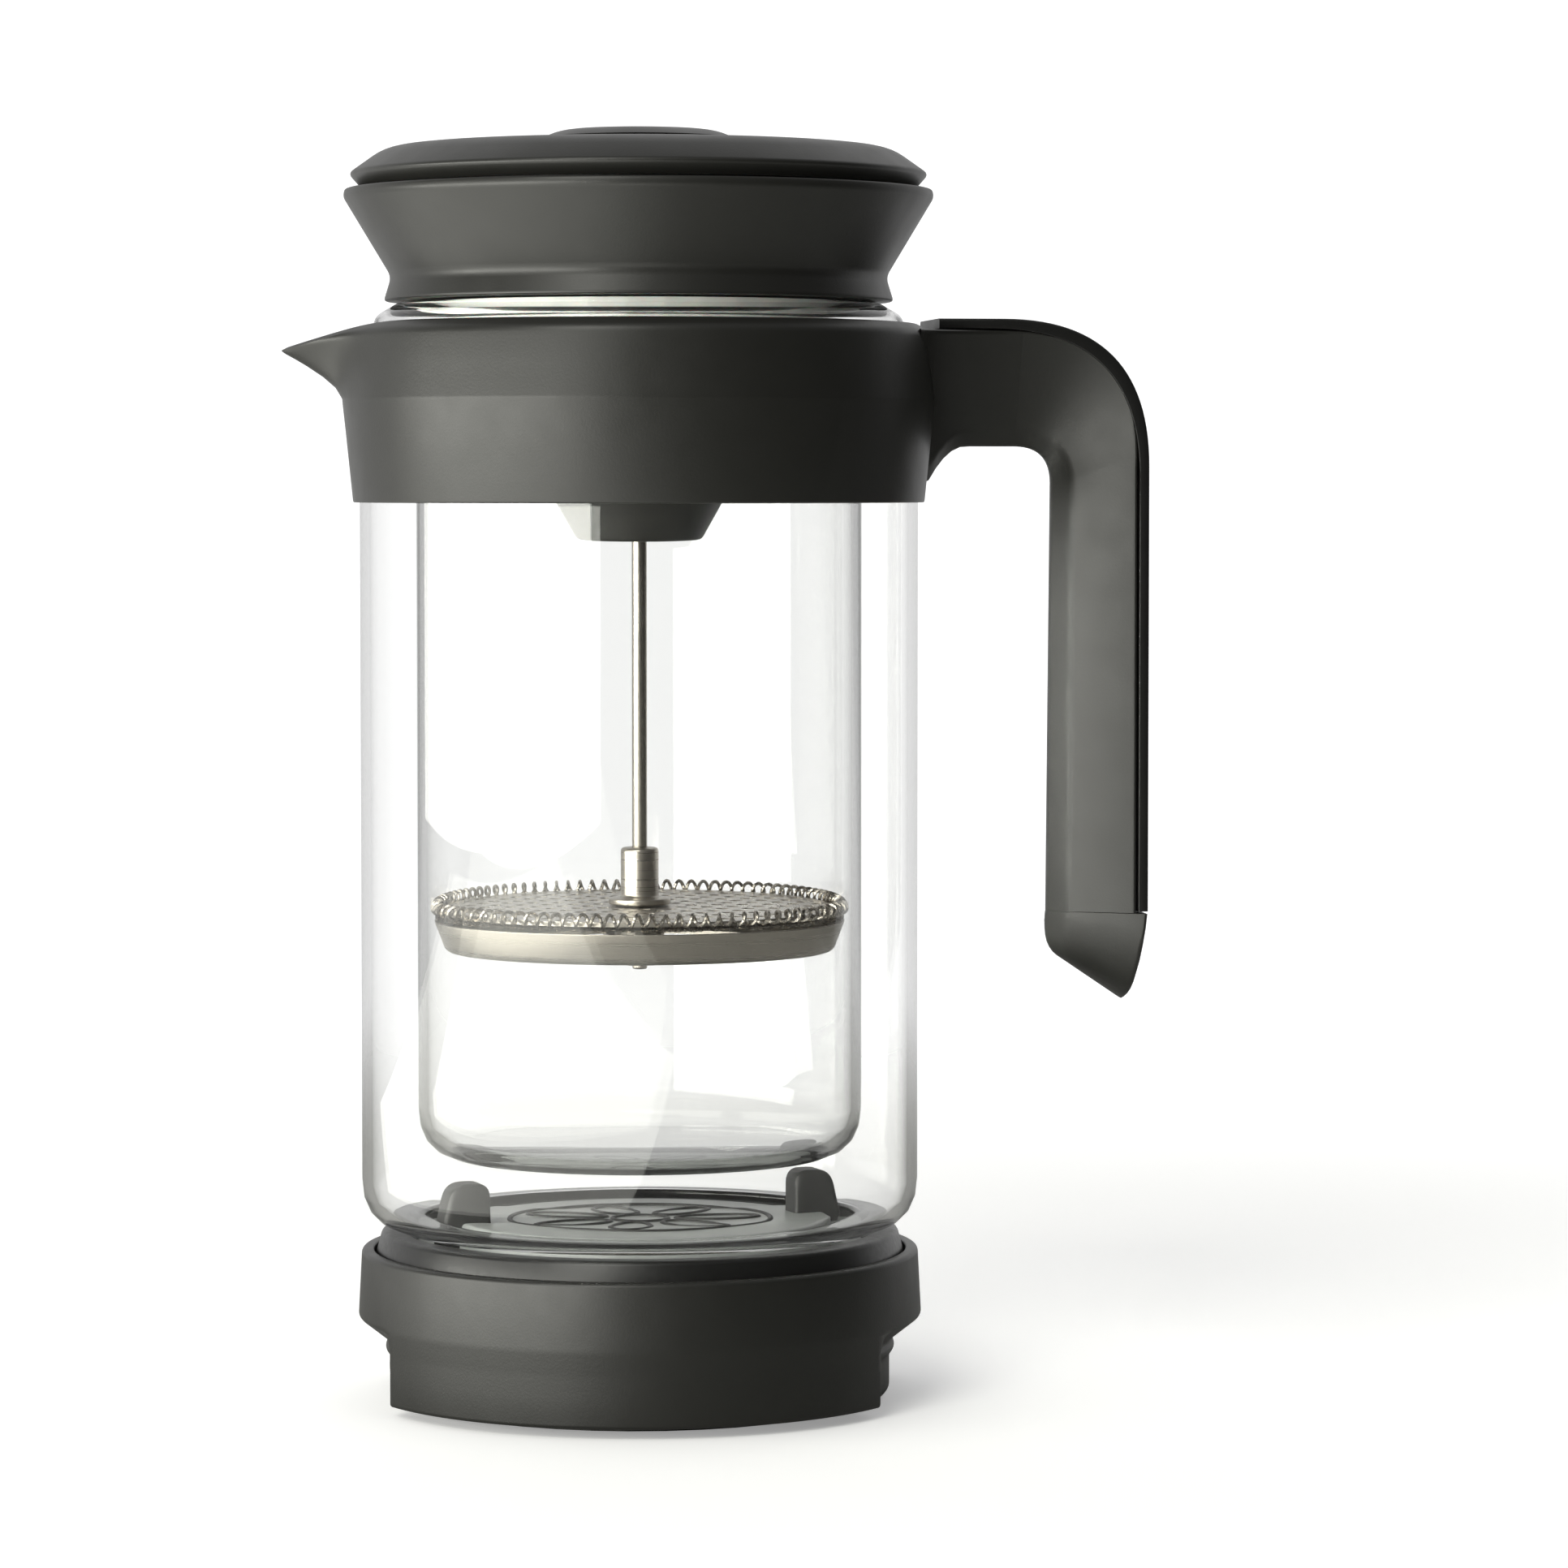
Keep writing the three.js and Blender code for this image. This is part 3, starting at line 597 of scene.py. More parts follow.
def cup_profile(wall):
    """The cup's profile, with one of its two lower walls."""
    foot = [(BASE["foot_r"], BASE["foot_z"], 0.3), (BASE["stem_r"] - 0.8, BASE["foot_z"], 0.3)]
    eased_wall = [(r, z, WALL_EASE) for r, z in wall]
    inside = [
        (BASE["rim_r"], BASE["rim_z"], 1.0),
        (BASE["mouth_r"], BASE["rim_z"], 0.5),
        (BASE["mouth_r"], BASE["channel_z"], 0.4),
        (BASE["channel_r"], BASE["channel_z"]),
        (BASE["channel_r"], BASE["ledge_z"], 0.3),
        (BASE["ledge_r"], BASE["ledge_z"], 0.4),
        (BASE["ledge_r"], BASE["floor_z"], 1.5),
        (0, BASE["floor_z"]),
        (0, BASE["foot_top"]),
        (BASE["foot_r"], BASE["foot_top"]),
    ]
    return rounded(foot + eased_wall + inside)


def cup_shape():
    """The cup: one profile at the front and back and another in the two grip recesses."""
    front = [tuple(point) for point in cup_profile(CUP_FRONT)]
    side_beside = dict(zip(front, cup_profile(CUP_SIDE)))

    def place(r, z, angle):
        side = side_beside[(r, z)]
        share = grip_share(angle)
        r_here = r + (side[0] - r) * share
        z_here = z + (side[1] - z) * share
        return (r_here * math.cos(angle), r_here * math.sin(angle), z_here)

    return turned(front, even_angles(2 * ROUND_SEGMENTS), place)


TAB = {
    "inner": 32.2,
    "outer": 42.3,
    "outer_top": 40.0,
    "top": 44.4,
    "foot_inner": 28.2,
    "foot_outer": 43.3,
    "foot_bottom": 5.3,
    "foot_top": 8.3,
    "half": 3.5,
    "edge": 0.9,
    "turn": math.radians(12),
}


def tab_shape(turn):
    """A latch finger: a slab with rounded shoulders, its outer side leaning in."""
    outline = rounded(
        [
            (TAB["foot_inner"], TAB["foot_bottom"], 0.5),
            (TAB["foot_outer"], TAB["foot_bottom"], 0.5),
            (TAB["foot_outer"], TAB["foot_top"], 0.4),
            (TAB["outer"], TAB["foot_top"] + 1, 0.4),
            (TAB["outer"], DECK_TOP - 1, 1.5),
            (TAB["outer_top"], TAB["top"], 3.2),
            (TAB["inner"], TAB["top"], 2.8),
            (TAB["inner"], TAB["foot_top"], 0.5),
            (TAB["foot_inner"], TAB["foot_top"], 0.5),
        ],
        TAB_EASE_STEPS,
    )
    centre = Vector((sum(p[0] for p in outline), sum(p[1] for p in outline))) / len(outline)
    sections = []
    for y, inset in tab_edge_steps():
        size = 1 - inset / TAB["half"] / 2
        section = []
        for point in outline:
            x, z = centre + (point - centre) * size
            section.append(
                (x * math.cos(turn) - y * math.sin(turn), x * math.sin(turn) + y * math.cos(turn), z)
            )
        sections.append(section)
    return lofted(sections)


def tab_edge_steps():
    """(y, inset) pairs that round the slab's long edges."""
    near = []
    for t in shares(TAB_EDGE_STEPS):
        angle = math.pi / 2 * t
        near.append((TAB["edge"] * (1 - math.cos(angle)) - TAB["half"], TAB["edge"] * (1 - math.sin(angle))))
    return near + [(-y, inset) for y, inset in reversed(near)]


DECK_TOP = 35.0
MOTIF = {"radius": 28.0, "line": 0.55, "middle": 0.56, "length": 0.3, "width": 0.14, "rings": (0.2, 0.94)}


def motif_tree():
    """Outlines of petals round a small ring, inside a large one."""
    tree, given = growing_tree("deck motif", petals="int", radius="length", line="length", level="length")

    def part(share):
        return calculate(tree, "MULTIPLY", given["Radius"], share)

    middle = part(MOTIF["middle"])
    spots = result(tree, "GeometryNodeMeshCircle", vertices=given["Petals"], radius=middle)
    size = vector(tree, part(MOTIF["length"]), part(MOTIF["width"]), 1.0)
    outline = circle_curve(tree, 1.0, PETAL_SEGMENTS)
    petal = result(tree, "GeometryNodeTransform", geometry=outline, scale=size)
    turn = turn_of_each(tree, given["Petals"])
    petals = result(tree, "GeometryNodeInstanceOnPoints", points=spots, instance=petal, rotation=turn)
    rings = [circle_curve(tree, part(share), RING_SEGMENTS) for share in MOTIF["rings"]]
    lines = joined(tree, realized(tree, petals), *rings)
    drawn = tube(tree, lines, given["Line"], LINE_SIDES)
    end_tree(tree, raised(tree, drawn, given["Level"]), given["Finish"])
    return tree


CRADLE_RING_PROFILE = [(47.0, 26.3), (53.1, 26.3), (53.1, 29.0, 1.2), (51.8, 33.9, 0.9), (47.0, 33.9, 0.9)]
DECK_DISC_PROFILE = [
    (36.4, 28.4), (46.4, 28.4), (46.4, 30.1, 0.3), (39.2, 30.1, 0.3), (38.6, DECK_TOP, 1.2),
    (0, DECK_TOP), (0, 32.4), (36.4, 32.4),
]


class PRESS_OT_base(bpy.types.Operator):
    """Makes the base cup, cradle ring, deck disc, motif and latch tabs"""

    bl_idname = "press.base"
    bl_label = "Base"

    def execute(self, context):
        seat(mesh_object("base_cup_fine", cup_shape()), "base", "shell", "base_cup")
        turned_piece("cradle_ring", CRADLE_RING_PROFILE, "base", "rubber")
        turned_piece("deck_disc", DECK_DISC_PROFILE, "base", "deck")
        motif = grown(
            "deck_motif",
            motif_tree(),
            "tabs",
            petals=context.scene.press_sizes.motif_petals,
            radius=MOTIF["radius"] * MM,
            line=MOTIF["line"] * MM,
            level=DECK_TOP * MM,
        )
        seat(motif, "base", "tabs")
        for side, half_turn in (("right", 0.0), ("left", math.pi)):
            tab = mesh_object(f"latch_tab_{side}_fine", tab_shape(TAB["turn"] + half_turn))
            seat(tab, "base", "tabs", f"latch_tab_{side}")
        return {"FINISHED"}


# ---------------------------------------------------------------- glass
OUTER_JACKET_PROFILE = [
    (43.3, 34.3, 0.9), (55.8, 34.3, 10.0), (55.8, 203.5, 3.0), (53.0, 213.0, 1.5), (52.9, 216.6, 1.8),
    (48.2, 219.3, 0.6), (46.9, 219.3, 0.5), (46.9, 217.3, 0.4), (50.9, 215.4, 1.4), (51.0, 212.6, 1.5),
    (53.8, 203.1, 3.0), (53.8, 36.3, 8.0), (43.3, 36.3, 0.9),
]
INNER_BEAKER_PROFILE = [
    (0, 48.6), (44.5, 48.6, 10.0), (44.5, 219.0, 0.9), (42.6, 219.0, 0.9), (42.6, 50.8, 8.1),
    (0, 50.8),
]


class PRESS_OT_glass(bpy.types.Operator):
    """Makes the jar's outer jacket and the beaker inside it"""

    bl_idname = "press.glass"
    bl_label = "Glass"

    def execute(self, context):
        turned_piece("outer_jacket", OUTER_JACKET_PROFILE, "carafe", "glass")
        turned_piece("inner_beaker", INNER_BEAKER_PROFILE, "carafe", "glass")
        return {"FINISHED"}


# ---------------------------------------------------------------- collar and handle
CREASE_Z = 200.0
COLLAR_TOP = 215.3
SPOUT = {
    "reach": 14.0,
    "drop": 4.6,
    "lip_z": 214.0,
    "half_angle": math.radians(34),
    "sharpness": math.radians(7.5),
    "rise": 1.5,
    "trough_z": 208.5,
    "trough_reach": 14.0,
    "bore_r": 56.9,
    "rim_z": COLLAR_TOP - 1.2,
    "rim_r": 55.0,
}
FINE_STEP = math.radians(0.45)
COLLAR_PROFILE = [
    (56.2, 179.7, 0.3), (57.1, 179.7, 0.4), (58.45, 193.0), (59.2, CREASE_Z, 0.35), (58.85, 203.5),
    (58.6, 206.5), (58.35, 209.5), (58.1, 211.6), (57.9, 213.6, 1.1), (55.6, COLLAR_TOP, 0.8),
    (53.4, COLLAR_TOP, 0.3), (53.4, 213.2), (54.2, 210.6), (55.0, 207.8), (56.2, 203.7),
    (56.2, 194.3), (57.3, 194.3), (57.3, 189.7), (56.2, 189.7),
]


def beak_share(angle):
    """1 at the spout's tip, falling away to 0 on both sides of it."""
    off = abs(math.remainder(angle - math.pi, 2 * math.pi))
    fade = max(0.0, 1 - (off / SPOUT["half_angle"]) ** 2)
    return fade**2 / (1 + (off / SPOUT["sharpness"]) ** 2)


def on_collar(r, z, angle):
    """Draws the collar's wall out into a pouring beak near -X, above the crease."""
    share = beak_share(angle)
    if z > CREASE_Z and share > 0:
        outside = r > SPOUT["bore_r"] or z > SPOUT["rim_z"] and r > SPOUT["rim_r"]
        foot = CREASE_Z if outside else SPOUT["trough_z"]
        reach = SPOUT["reach"] if outside else SPOUT["trough_reach"]
        t = min(1.0, max(0.0, (z - foot) / (SPOUT["lip_z"] - foot)))
        r += share * reach * t ** SPOUT["rise"]
        z -= share * SPOUT["drop"] * (z - CREASE_Z) / (COLLAR_TOP - CREASE_Z)
    return (r * math.cos(angle), r * math.sin(angle), z)


def collar_shape():
    profile = rounded(COLLAR_PROFILE)
    fine_half = SPOUT["half_angle"]
    steps = int(2 * fine_half / FINE_STEP)
    angles = [math.pi - fine_half + FINE_STEP * i for i in range(steps + 1)]
    coarse = 2 * math.pi - 2 * fine_half
    count = int(coarse / (2 * math.pi / ROUND_SEGMENTS))
    angles += [math.pi + fine_half + coarse * (i + 1) / (count + 1) for i in range(count)]
    return turned(profile, angles, on_collar)


ARM = {
    "root": (53.6, 23.0),
    "bend": (58.2, 13.4),
    "end": (76.0, 12.4),
    "top": 214.0,
    "bottom": 190.9,
    "fillet_end": 66.0,
    "fillet_drop": 7.5,
    "inner_x": 83.4,
    "inner_foot_x": 82.7,
    "inner_ease": 8.0,
    "inner_start": 0.6,
    "back_x": 99.2,
    "outer_ease": 27.2,
    "outer_start": 2.2,
    "half": 12.4,
    "edge": 1.2,
    "foot_z": 97.2,
    "side_lean": 0.48,
    "chamfer": 3.4,
    "nose_half": 0.9,
}
# (inner point, outer point, half width) down the slanted foot, which narrows like a keel.
FOOT_RAILS = [
    ((82.7, 97.1), (101.4, 97.0), 13.0),
    ((82.6, 96.4), (101.1, 94.2), 13.0),
    ((82.5, 95.0), (100.6, 90.8), 12.6),
    ((82.55, 93.4), (100.1, 87.6), 11.8),
    ((82.7, 92.0), (99.6, 85.0), 10.7),
    ((83.0, 90.7), (99.3, 83.0), 9.3),
    ((83.5, 89.6), (99.0, 81.5), 7.7),
    ((84.2, 88.6), (98.7, 80.4), 5.9),
    ((85.0, 87.9), (98.4, 79.6), 3.9),
    ((85.9, 87.3), (98.1, 79.1), 1.9),
]
CHAMFER_SHARE = 0.45
LEAST_SHOULDER = 0.24
NOSE_EASE = 0.8
ROOT_STEPS = 14
CORNER_STEPS = 22
GRIP_STEPS = 10
SPINE_STEPS = {"arm": 6, "corner": 28, "grip": 8}


def bend(start, corner, end, t):
    """A point on the parabola that eases a corner."""
    start, corner, end = Vector(start), Vector(corner), Vector(end)
    return start * (1 - t) ** 2 + corner * 2 * t * (1 - t) + end * t * t


def arm_underside(x):
    """The arm's underside, with the fillet that runs down into the collar."""
    t = min(1.0, max(0.0, (ARM["fillet_end"] - x) / (ARM["fillet_end"] - ARM["bend"][0])))
    return ARM["bottom"] - ARM["fillet_drop"] * t * t


def handle_rails():
    """(inner point, outer point, half width) from inside the collar's wall to the handle's foot."""
    rails = []
    for t in shares(ROOT_STEPS):
        x, half = bend(ARM["root"], ARM["bend"], ARM["end"], t)
        rails.append(((x, arm_underside(x)), (x, ARM["top"]), half))
    inner_corner = Vector((ARM["inner_x"], ARM["bottom"]))
    outer_corner = Vector((ARM["back_x"], ARM["top"]))
    inner_end = inner_corner - Vector((0.0, ARM["inner_ease"]))
    outer_end = outer_corner - Vector((0.0, ARM["outer_ease"]))
    for t in shares(CORNER_STEPS):
        inner = bend(inner_corner - Vector((ARM["inner_ease"], 0.0)), inner_corner, inner_end, t)
        outer = bend(outer_corner - Vector((ARM["outer_ease"], 0.0)), outer_corner, outer_end, t)
        inner.x += ARM["inner_start"] * (1 - t)
        outer.x += ARM["outer_start"] * (1 - t)
        rails.append((inner, outer, ARM["half"]))
    for t in shares(GRIP_STEPS, 1):
        inner = inner_end.lerp(Vector((ARM["inner_foot_x"], ARM["foot_z"])), t)
        outer = outer_end.lerp(Vector((ARM["back_x"], ARM["foot_z"])), t)
        rails.append((inner, outer, ARM["half"]))
    return rails + FOOT_RAILS


def loop_across(inner, outer, corners):
    """A closed loop of points across the handle, from (along, y, ease) corners between two rails."""
    across = (outer - inner).normalized()
    loop = []
    for along, y in rounded(corners, LOOP_EASE_STEPS):
        x, z = inner + across * along
        loop.append((x, y, z))
    return loop


def handle_section(inner, outer, half):
    """A loop with a flat back, sides that lean in a little, and a chamfered inner edge."""
    inner, outer = Vector(inner), Vector(outer)
    depth = (outer - inner).length
    lean = ARM["side_lean"] * min(1.0, half / ARM["half"])
    chamfer = min(ARM["chamfer"], depth * CHAMFER_SHARE)
    shoulder = max(half * LEAST_SHOULDER, half - (depth - chamfer) * lean)
    nose = min(ARM["nose_half"], shoulder * CHAMFER_SHARE)
    edge = min(ARM["edge"], half * CHAMFER_SHARE)
    rounding = min(ARM["edge"], shoulder)
    side = [(0.0, nose, NOSE_EASE * nose), (chamfer, shoulder, rounding), (depth, half, edge)]
    other_side = [(along, -y, ease) for along, y, ease in reversed(side)]
    return loop_across(inner, outer, side + other_side)


SPINE = {
    "start_x": 58.8,
    "top": 216.3,
    "outer_x": 101.5,
    "thick": 2.0,
    "half": 12.5,
    "ease": 29.5,
    "end_z": 97.5,
    "inner_edge": 0.2,
    "outer_edge": 0.6,
}


def spine_rails(inset):
    """Points along the spine's outer face, or below it by an inset."""
    x, z = SPINE["outer_x"] - inset, SPINE["top"] - inset
    first = Vector((SPINE["start_x"], z))
    arm_end = Vector((x - SPINE["ease"], z))
    grip_start = Vector((x, z - SPINE["ease"]))
    points = [first.lerp(arm_end, t) for t in shares(SPINE_STEPS["arm"])]
    points += [bend(arm_end, (x, z), grip_start, t) for t in shares(SPINE_STEPS["corner"], 1)]
    grip_end = Vector((x, SPINE["end_z"]))
    return points + [grip_start.lerp(grip_end, t) for t in shares(SPINE_STEPS["grip"], 1)]


def spine_shape():
    """The dark strip let into the back of the handle, from the collar to the grip's foot."""
    half = SPINE["half"]
    sections = []
    for inner, outer in zip(spine_rails(SPINE["thick"]), spine_rails(0.0)):
        depth = (outer - inner).length
        below = [(0.0, -half, SPINE["inner_edge"]), (depth, -half, SPINE["outer_edge"])]
        above = [(along, half, ease) for along, _, ease in reversed(below)]
        sections.append(loop_across(inner, outer, below + above))
    return lofted(sections)


class PRESS_OT_collar(bpy.types.Operator):
    """Makes the collar with its spout and handle, and the handle's spine"""

    bl_idname = "press.collar"
    bl_label = "Collar and Handle"

    def execute(self, context):
        collar = mesh_object("collar_and_handle_fine", collar_shape())
        handle = mesh_object("handle", lofted([handle_section(*rail) for rail in handle_rails()]))
        combine(collar, handle, "UNION")
        seat(collar, "carafe", "shell", "collar_and_handle")
        seat(mesh_object("handle_spine_fine", spine_shape()), "carafe", "trim", "handle_spine")
        return {"FINISHED"}


# ---------------------------------------------------------------- funnel
RIB = {"top_radius": 36.6, "top_height": 218.6, "foot_radius": 11.4, "foot_height": 175.4, "thickness": 0.7}


def rib_tree():
    """Drip ribs down the inside of the funnel's cone."""
    tree, given = growing_tree("funnel ribs", ribs="int", **{size: "length" for size in RIB})
    top = vector(tree, x=given["Top Radius"], z=given["Top Height"])
    foot = vector(tree, x=given["Foot Radius"], z=given["Foot Height"])
    line = result(tree, "GeometryNodeCurvePrimitiveLine", start=top, end=foot)
    rib = tube(tree, line, given["Thickness"], LINE_SIDES, caps=True)
    centre = result(tree, "GeometryNodeMeshLine", count=given["Ribs"], offset=(0.0, 0.0, 0.0))
    turn = turn_of_each(tree, given["Ribs"])
    ribs = result(tree, "GeometryNodeInstanceOnPoints", points=centre, instance=rib, rotation=turn)
    end_tree(tree, ribs, given["Finish"])
    return tree


DRIPPER_FUNNEL_PROFILE = [
    (10.3, 171.0, 0.4), (12.5, 171.0, 0.8), (35.9, 212.3, 0.6), (41.8, 212.3, 0.5), (41.8, 214.2, 0.2),
    (40.3, 214.2), (40.3, 217.4), (41.8, 217.4, 0.2), (41.8, 219.7, 0.3), (50.9, 219.7, 0.8),
    (49.4, 224.6, 1.4), (58.9, 240.4, 0.8), (58.6, 241.9, 0.5), (56.8, 241.9, 0.5), (47.2, 225.6, 1.2),
    (37.4, 219.2, 1.2), (10.3, 173.2, 0.8),
]


class PRESS_OT_funnel(bpy.types.Operator):
    """Makes the dripper funnel and its inner ribs"""

    bl_idname = "press.funnel"
    bl_label = "Dripper Funnel"

    def execute(self, context):
        turned_piece("dripper_funnel", DRIPPER_FUNNEL_PROFILE, "funnel", "shell")
        count = context.scene.press_sizes.funnel_ribs
        ribs = grown("funnel_ribs", rib_tree(), "shell", ribs=count, **in_metres(RIB))
        seat(ribs, "funnel", "shell")
        return {"FINISHED"}


# ---------------------------------------------------------------- lid
LID_CAP_PROFILE = [
    (50.4, 236.5, 0.3), (53.6, 236.5, 0.4), (53.6, 238.0, 0.3), (52.6, 238.0), (52.6, 242.3),
    (55.4, 242.3, 0.3), (57.8, 245.0, 1.0), (50.6, 250.1, 3.0), (20.0, 251.8, 2.0), (6.4, 251.8, 0.4),
    (6.4, 248.6), (3.8, 248.6, 0.3), (3.8, 240.0, 0.3), (8.5, 240.0, 0.5), (8.5, 249.5, 1.0),
    (48.1, 247.7, 1.5), (50.4, 244.8, 1.0),
]


class PRESS_OT_lid(bpy.types.Operator):
    """Makes the lid's cap"""

    bl_idname = "press.lid"
    bl_label = "Lid"

    def execute(self, context):
        turned_piece("lid_cap", LID_CAP_PROFILE, "lid", "shell")
        return {"FINISHED"}


# ---------------------------------------------------------------- plunger
SPRING = {"ring_radius": 40.6, "coil_radius": 1.15, "level": 98.9}
POINTS_PER_TURN = 14.0
PLATE = {"radius": 39.0, "thickness": 0.9, "level": 97.5, "bore_radius": 1.8, "hub_radius": 6.4}
SCREEN = {"radius": 41.1, "wire_radius": 0.13, "level": 96.85}
WINDOW = {"outer": 32.0, "inner": 9.0, "outer_gap": 0.14, "inner_gap": 0.5, "bottom": 88.0, "top": 92.0}
WINDOWS = 4
WINDOW_STEPS = 20
HOLE_MARGIN = 1.8


def spring_tree():
    """A ring spring: a wire wound in a helix round a circle."""
    tree, given = growing_tree(
        "ring spring",
        turns="int",
        ring_radius="length",
        coil_radius="length",
        wire_radius="length",
        level="length",
    )
    points = calculate(tree, "MULTIPLY", given["Turns"], POINTS_PER_TURN)
    circle = circle_curve(tree, given["Ring Radius"], points)
    part = calculate(tree, "DIVIDE", index_of_each(tree), points)
    round_ring = calculate(tree, "MULTIPLY", part, 2 * math.pi)
    round_coil = calculate(tree, "MULTIPLY", round_ring, given["Turns"])
    out = calculate(tree, "MULTIPLY", calculate(tree, "COSINE", round_coil), given["Coil Radius"])
    up = calculate(tree, "MULTIPLY", calculate(tree, "SINE", round_coil), given["Coil Radius"])
    radius = calculate(tree, "ADD", given["Ring Radius"], out)
    x = calculate(tree, "MULTIPLY", radius, calculate(tree, "COSINE", round_ring))
    y = calculate(tree, "MULTIPLY", radius, calculate(tree, "SINE", round_ring))
    place = vector(tree, x, y, calculate(tree, "ADD", up, given["Level"]))
    wound = result(tree, "GeometryNodeSetPosition", geometry=circle, position=place)
    end_tree(tree, tube(tree, wound, given["Wire Radius"], WIRE_SIDES), given["Finish"])
    return tree


def hole_spots(tree, given):
    """The drain holes' centres: a triangular grid that keeps clear of the plate's rim and hub."""
    row_pitch = calculate(tree, "MULTIPLY", given["Hole Pitch"], math.sqrt(3) / 2)
    half_across = calculate(tree, "CEIL", calculate(tree, "DIVIDE", given["Radius"], given["Hole Pitch"]))
    half_rows = calculate(tree, "CEIL", calculate(tree, "DIVIDE", given["Radius"], row_pitch))
    columns = calculate(tree, "ADD", calculate(tree, "MULTIPLY", half_across, 2.0), 1.0)
    rows = calculate(tree, "ADD", calculate(tree, "MULTIPLY", half_rows, 2.0), 1.0)
    points = result(tree, "GeometryNodeMeshLine", count=calculate(tree, "MULTIPLY", columns, rows))
    index = index_of_each(tree)
    row = calculate(tree, "FLOOR", calculate(tree, "DIVIDE", index, columns))
    column = calculate(tree, "SUBTRACT", index, calculate(tree, "MULTIPLY", row, columns))
    from_middle = calculate(tree, "SUBTRACT", row, half_rows)
    shift = calculate(tree, "MULTIPLY", calculate(tree, "PINGPONG", from_middle, 1.0), 0.5)
    along = calculate(tree, "ADD", calculate(tree, "SUBTRACT", column, half_across), shift)
    x = calculate(tree, "MULTIPLY", along, given["Hole Pitch"])
    spot = vector(tree, x, calculate(tree, "MULTIPLY", from_middle, row_pitch))
    grid = result(tree, "GeometryNodeSetPosition", geometry=points, position=spot)
    reach = vector_length(tree, add_node(tree, "GeometryNodeInputPosition").outputs[0])
    margin = calculate(tree, "MULTIPLY", given["Hole Radius"], HOLE_MARGIN)
    too_far = calculate(tree, "GREATER_THAN", reach, calculate(tree, "SUBTRACT", given["Radius"], margin))
    too_near = calculate(tree, "LESS_THAN", reach, calculate(tree, "ADD", given["Hub Radius"], margin))
    left_out = calculate(tree, "ADD", too_far, too_near)
    return result(tree, "GeometryNodeDeleteGeometry", geometry=grid, selection=left_out)


def perforated_tree():
    """A round plate with drain holes and a hole for the rod."""
    tree, given = growing_tree(
        "perforated plate", hole_pitch="length", hole_radius="length", **{size: "length" for size in PLATE}
    )
    hole = circle_curve(tree, given["Hole Radius"], HOLE_SEGMENTS)
    spots = hole_spots(tree, given)
    holes = result(tree, "GeometryNodeInstanceOnPoints", points=spots, instance=hole)
    rim = circle_curve(tree, given["Radius"], PLATE_SEGMENTS)
    bore = circle_curve(tree, given["Bore Radius"], BORE_SEGMENTS)
    outlines = joined(tree, rim, bore, realized(tree, holes))
    sheet = result(tree, "GeometryNodeFillCurve", curve=outlines)
    thickness = vector(tree, z=given["Thickness"])
    top = result(tree, "GeometryNodeExtrudeMesh", mesh=sheet, offset=thickness, individual=False)
    under = result(tree, "GeometryNodeFlipFaces", mesh=sheet)
    end_tree(tree, raised(tree, joined(tree, top, under), given["Level"]), given["Finish"])
    return tree


def weave_tree():
    """A round screen of wires that pass over and under each other, both ways."""
    tree, given = growing_tree("woven screen", pitch="length", **{size: "length" for size in SCREEN})
    half_count = calculate(tree, "FLOOR", calculate(tree, "DIVIDE", given["Radius"], given["Pitch"]))
    count = calculate(tree, "ADD", calculate(tree, "MULTIPLY", half_count, 2.0), 1.0)
    from_middle = calculate(tree, "SUBTRACT", index_of_each(tree), half_count)
    across = calculate(tree, "MULTIPLY", from_middle, given["Pitch"])
    rows = result(tree, "GeometryNodeMeshLine", count=count)
    spots = result(tree, "GeometryNodeSetPosition", geometry=rows, position=vector(tree, y=across))
    square = calculate(tree, "MULTIPLY", given["Radius"], given["Radius"])
    rest = calculate(tree, "SUBTRACT", square, calculate(tree, "MULTIPLY", across, across))
    chord = calculate(tree, "SQRT", calculate(tree, "MAXIMUM", rest, 1e-9))
    line = result(tree, "GeometryNodeCurvePrimitiveLine", start=(-1.0, 0.0, 0.0), end=(1.0, 0.0, 0.0))
    steps = calculate(tree, "MULTIPLY", count, 2.0)
    split = result(tree, "GeometryNodeResampleCurve", curve=line, count=steps)
    size = vector(tree, chord, 1.0, 1.0)
    wires = result(tree, "GeometryNodeInstanceOnPoints", points=spots, instance=split, scale=size)
    straight = realized(tree, wires)
    place = add_node(tree, "GeometryNodeInputPosition").outputs[0]
    parts = add_node(tree, "ShaderNodeSeparateXYZ", inputs={0: place})
    wave_x = calculate(tree, "DIVIDE", parts.outputs[0], given["Pitch"])
    wave_y = calculate(tree, "DIVIDE", parts.outputs[1], given["Pitch"])
    phase = calculate(tree, "MULTIPLY", calculate(tree, "ADD", wave_x, wave_y), math.pi)
    wave = calculate(tree, "MULTIPLY", calculate(tree, "COSINE", phase), given["Wire Radius"])
    ways = []
    for sign, quarter_turn in ((1.0, 0.0), (-1.0, math.pi / 2)):
        lift = vector(tree, z=calculate(tree, "MULTIPLY", wave, sign))
        waved = result(tree, "GeometryNodeSetPosition", geometry=straight, offset=lift)
        bars = tube(tree, waved, given["Wire Radius"], WEAVE_SIDES)
        turn = (0.0, 0.0, quarter_turn)
        ways.append(result(tree, "GeometryNodeTransform", geometry=bars, rotation=turn))
    end_tree(tree, raised(tree, joined(tree, *ways), given["Level"]), given["Finish"])
    return tree


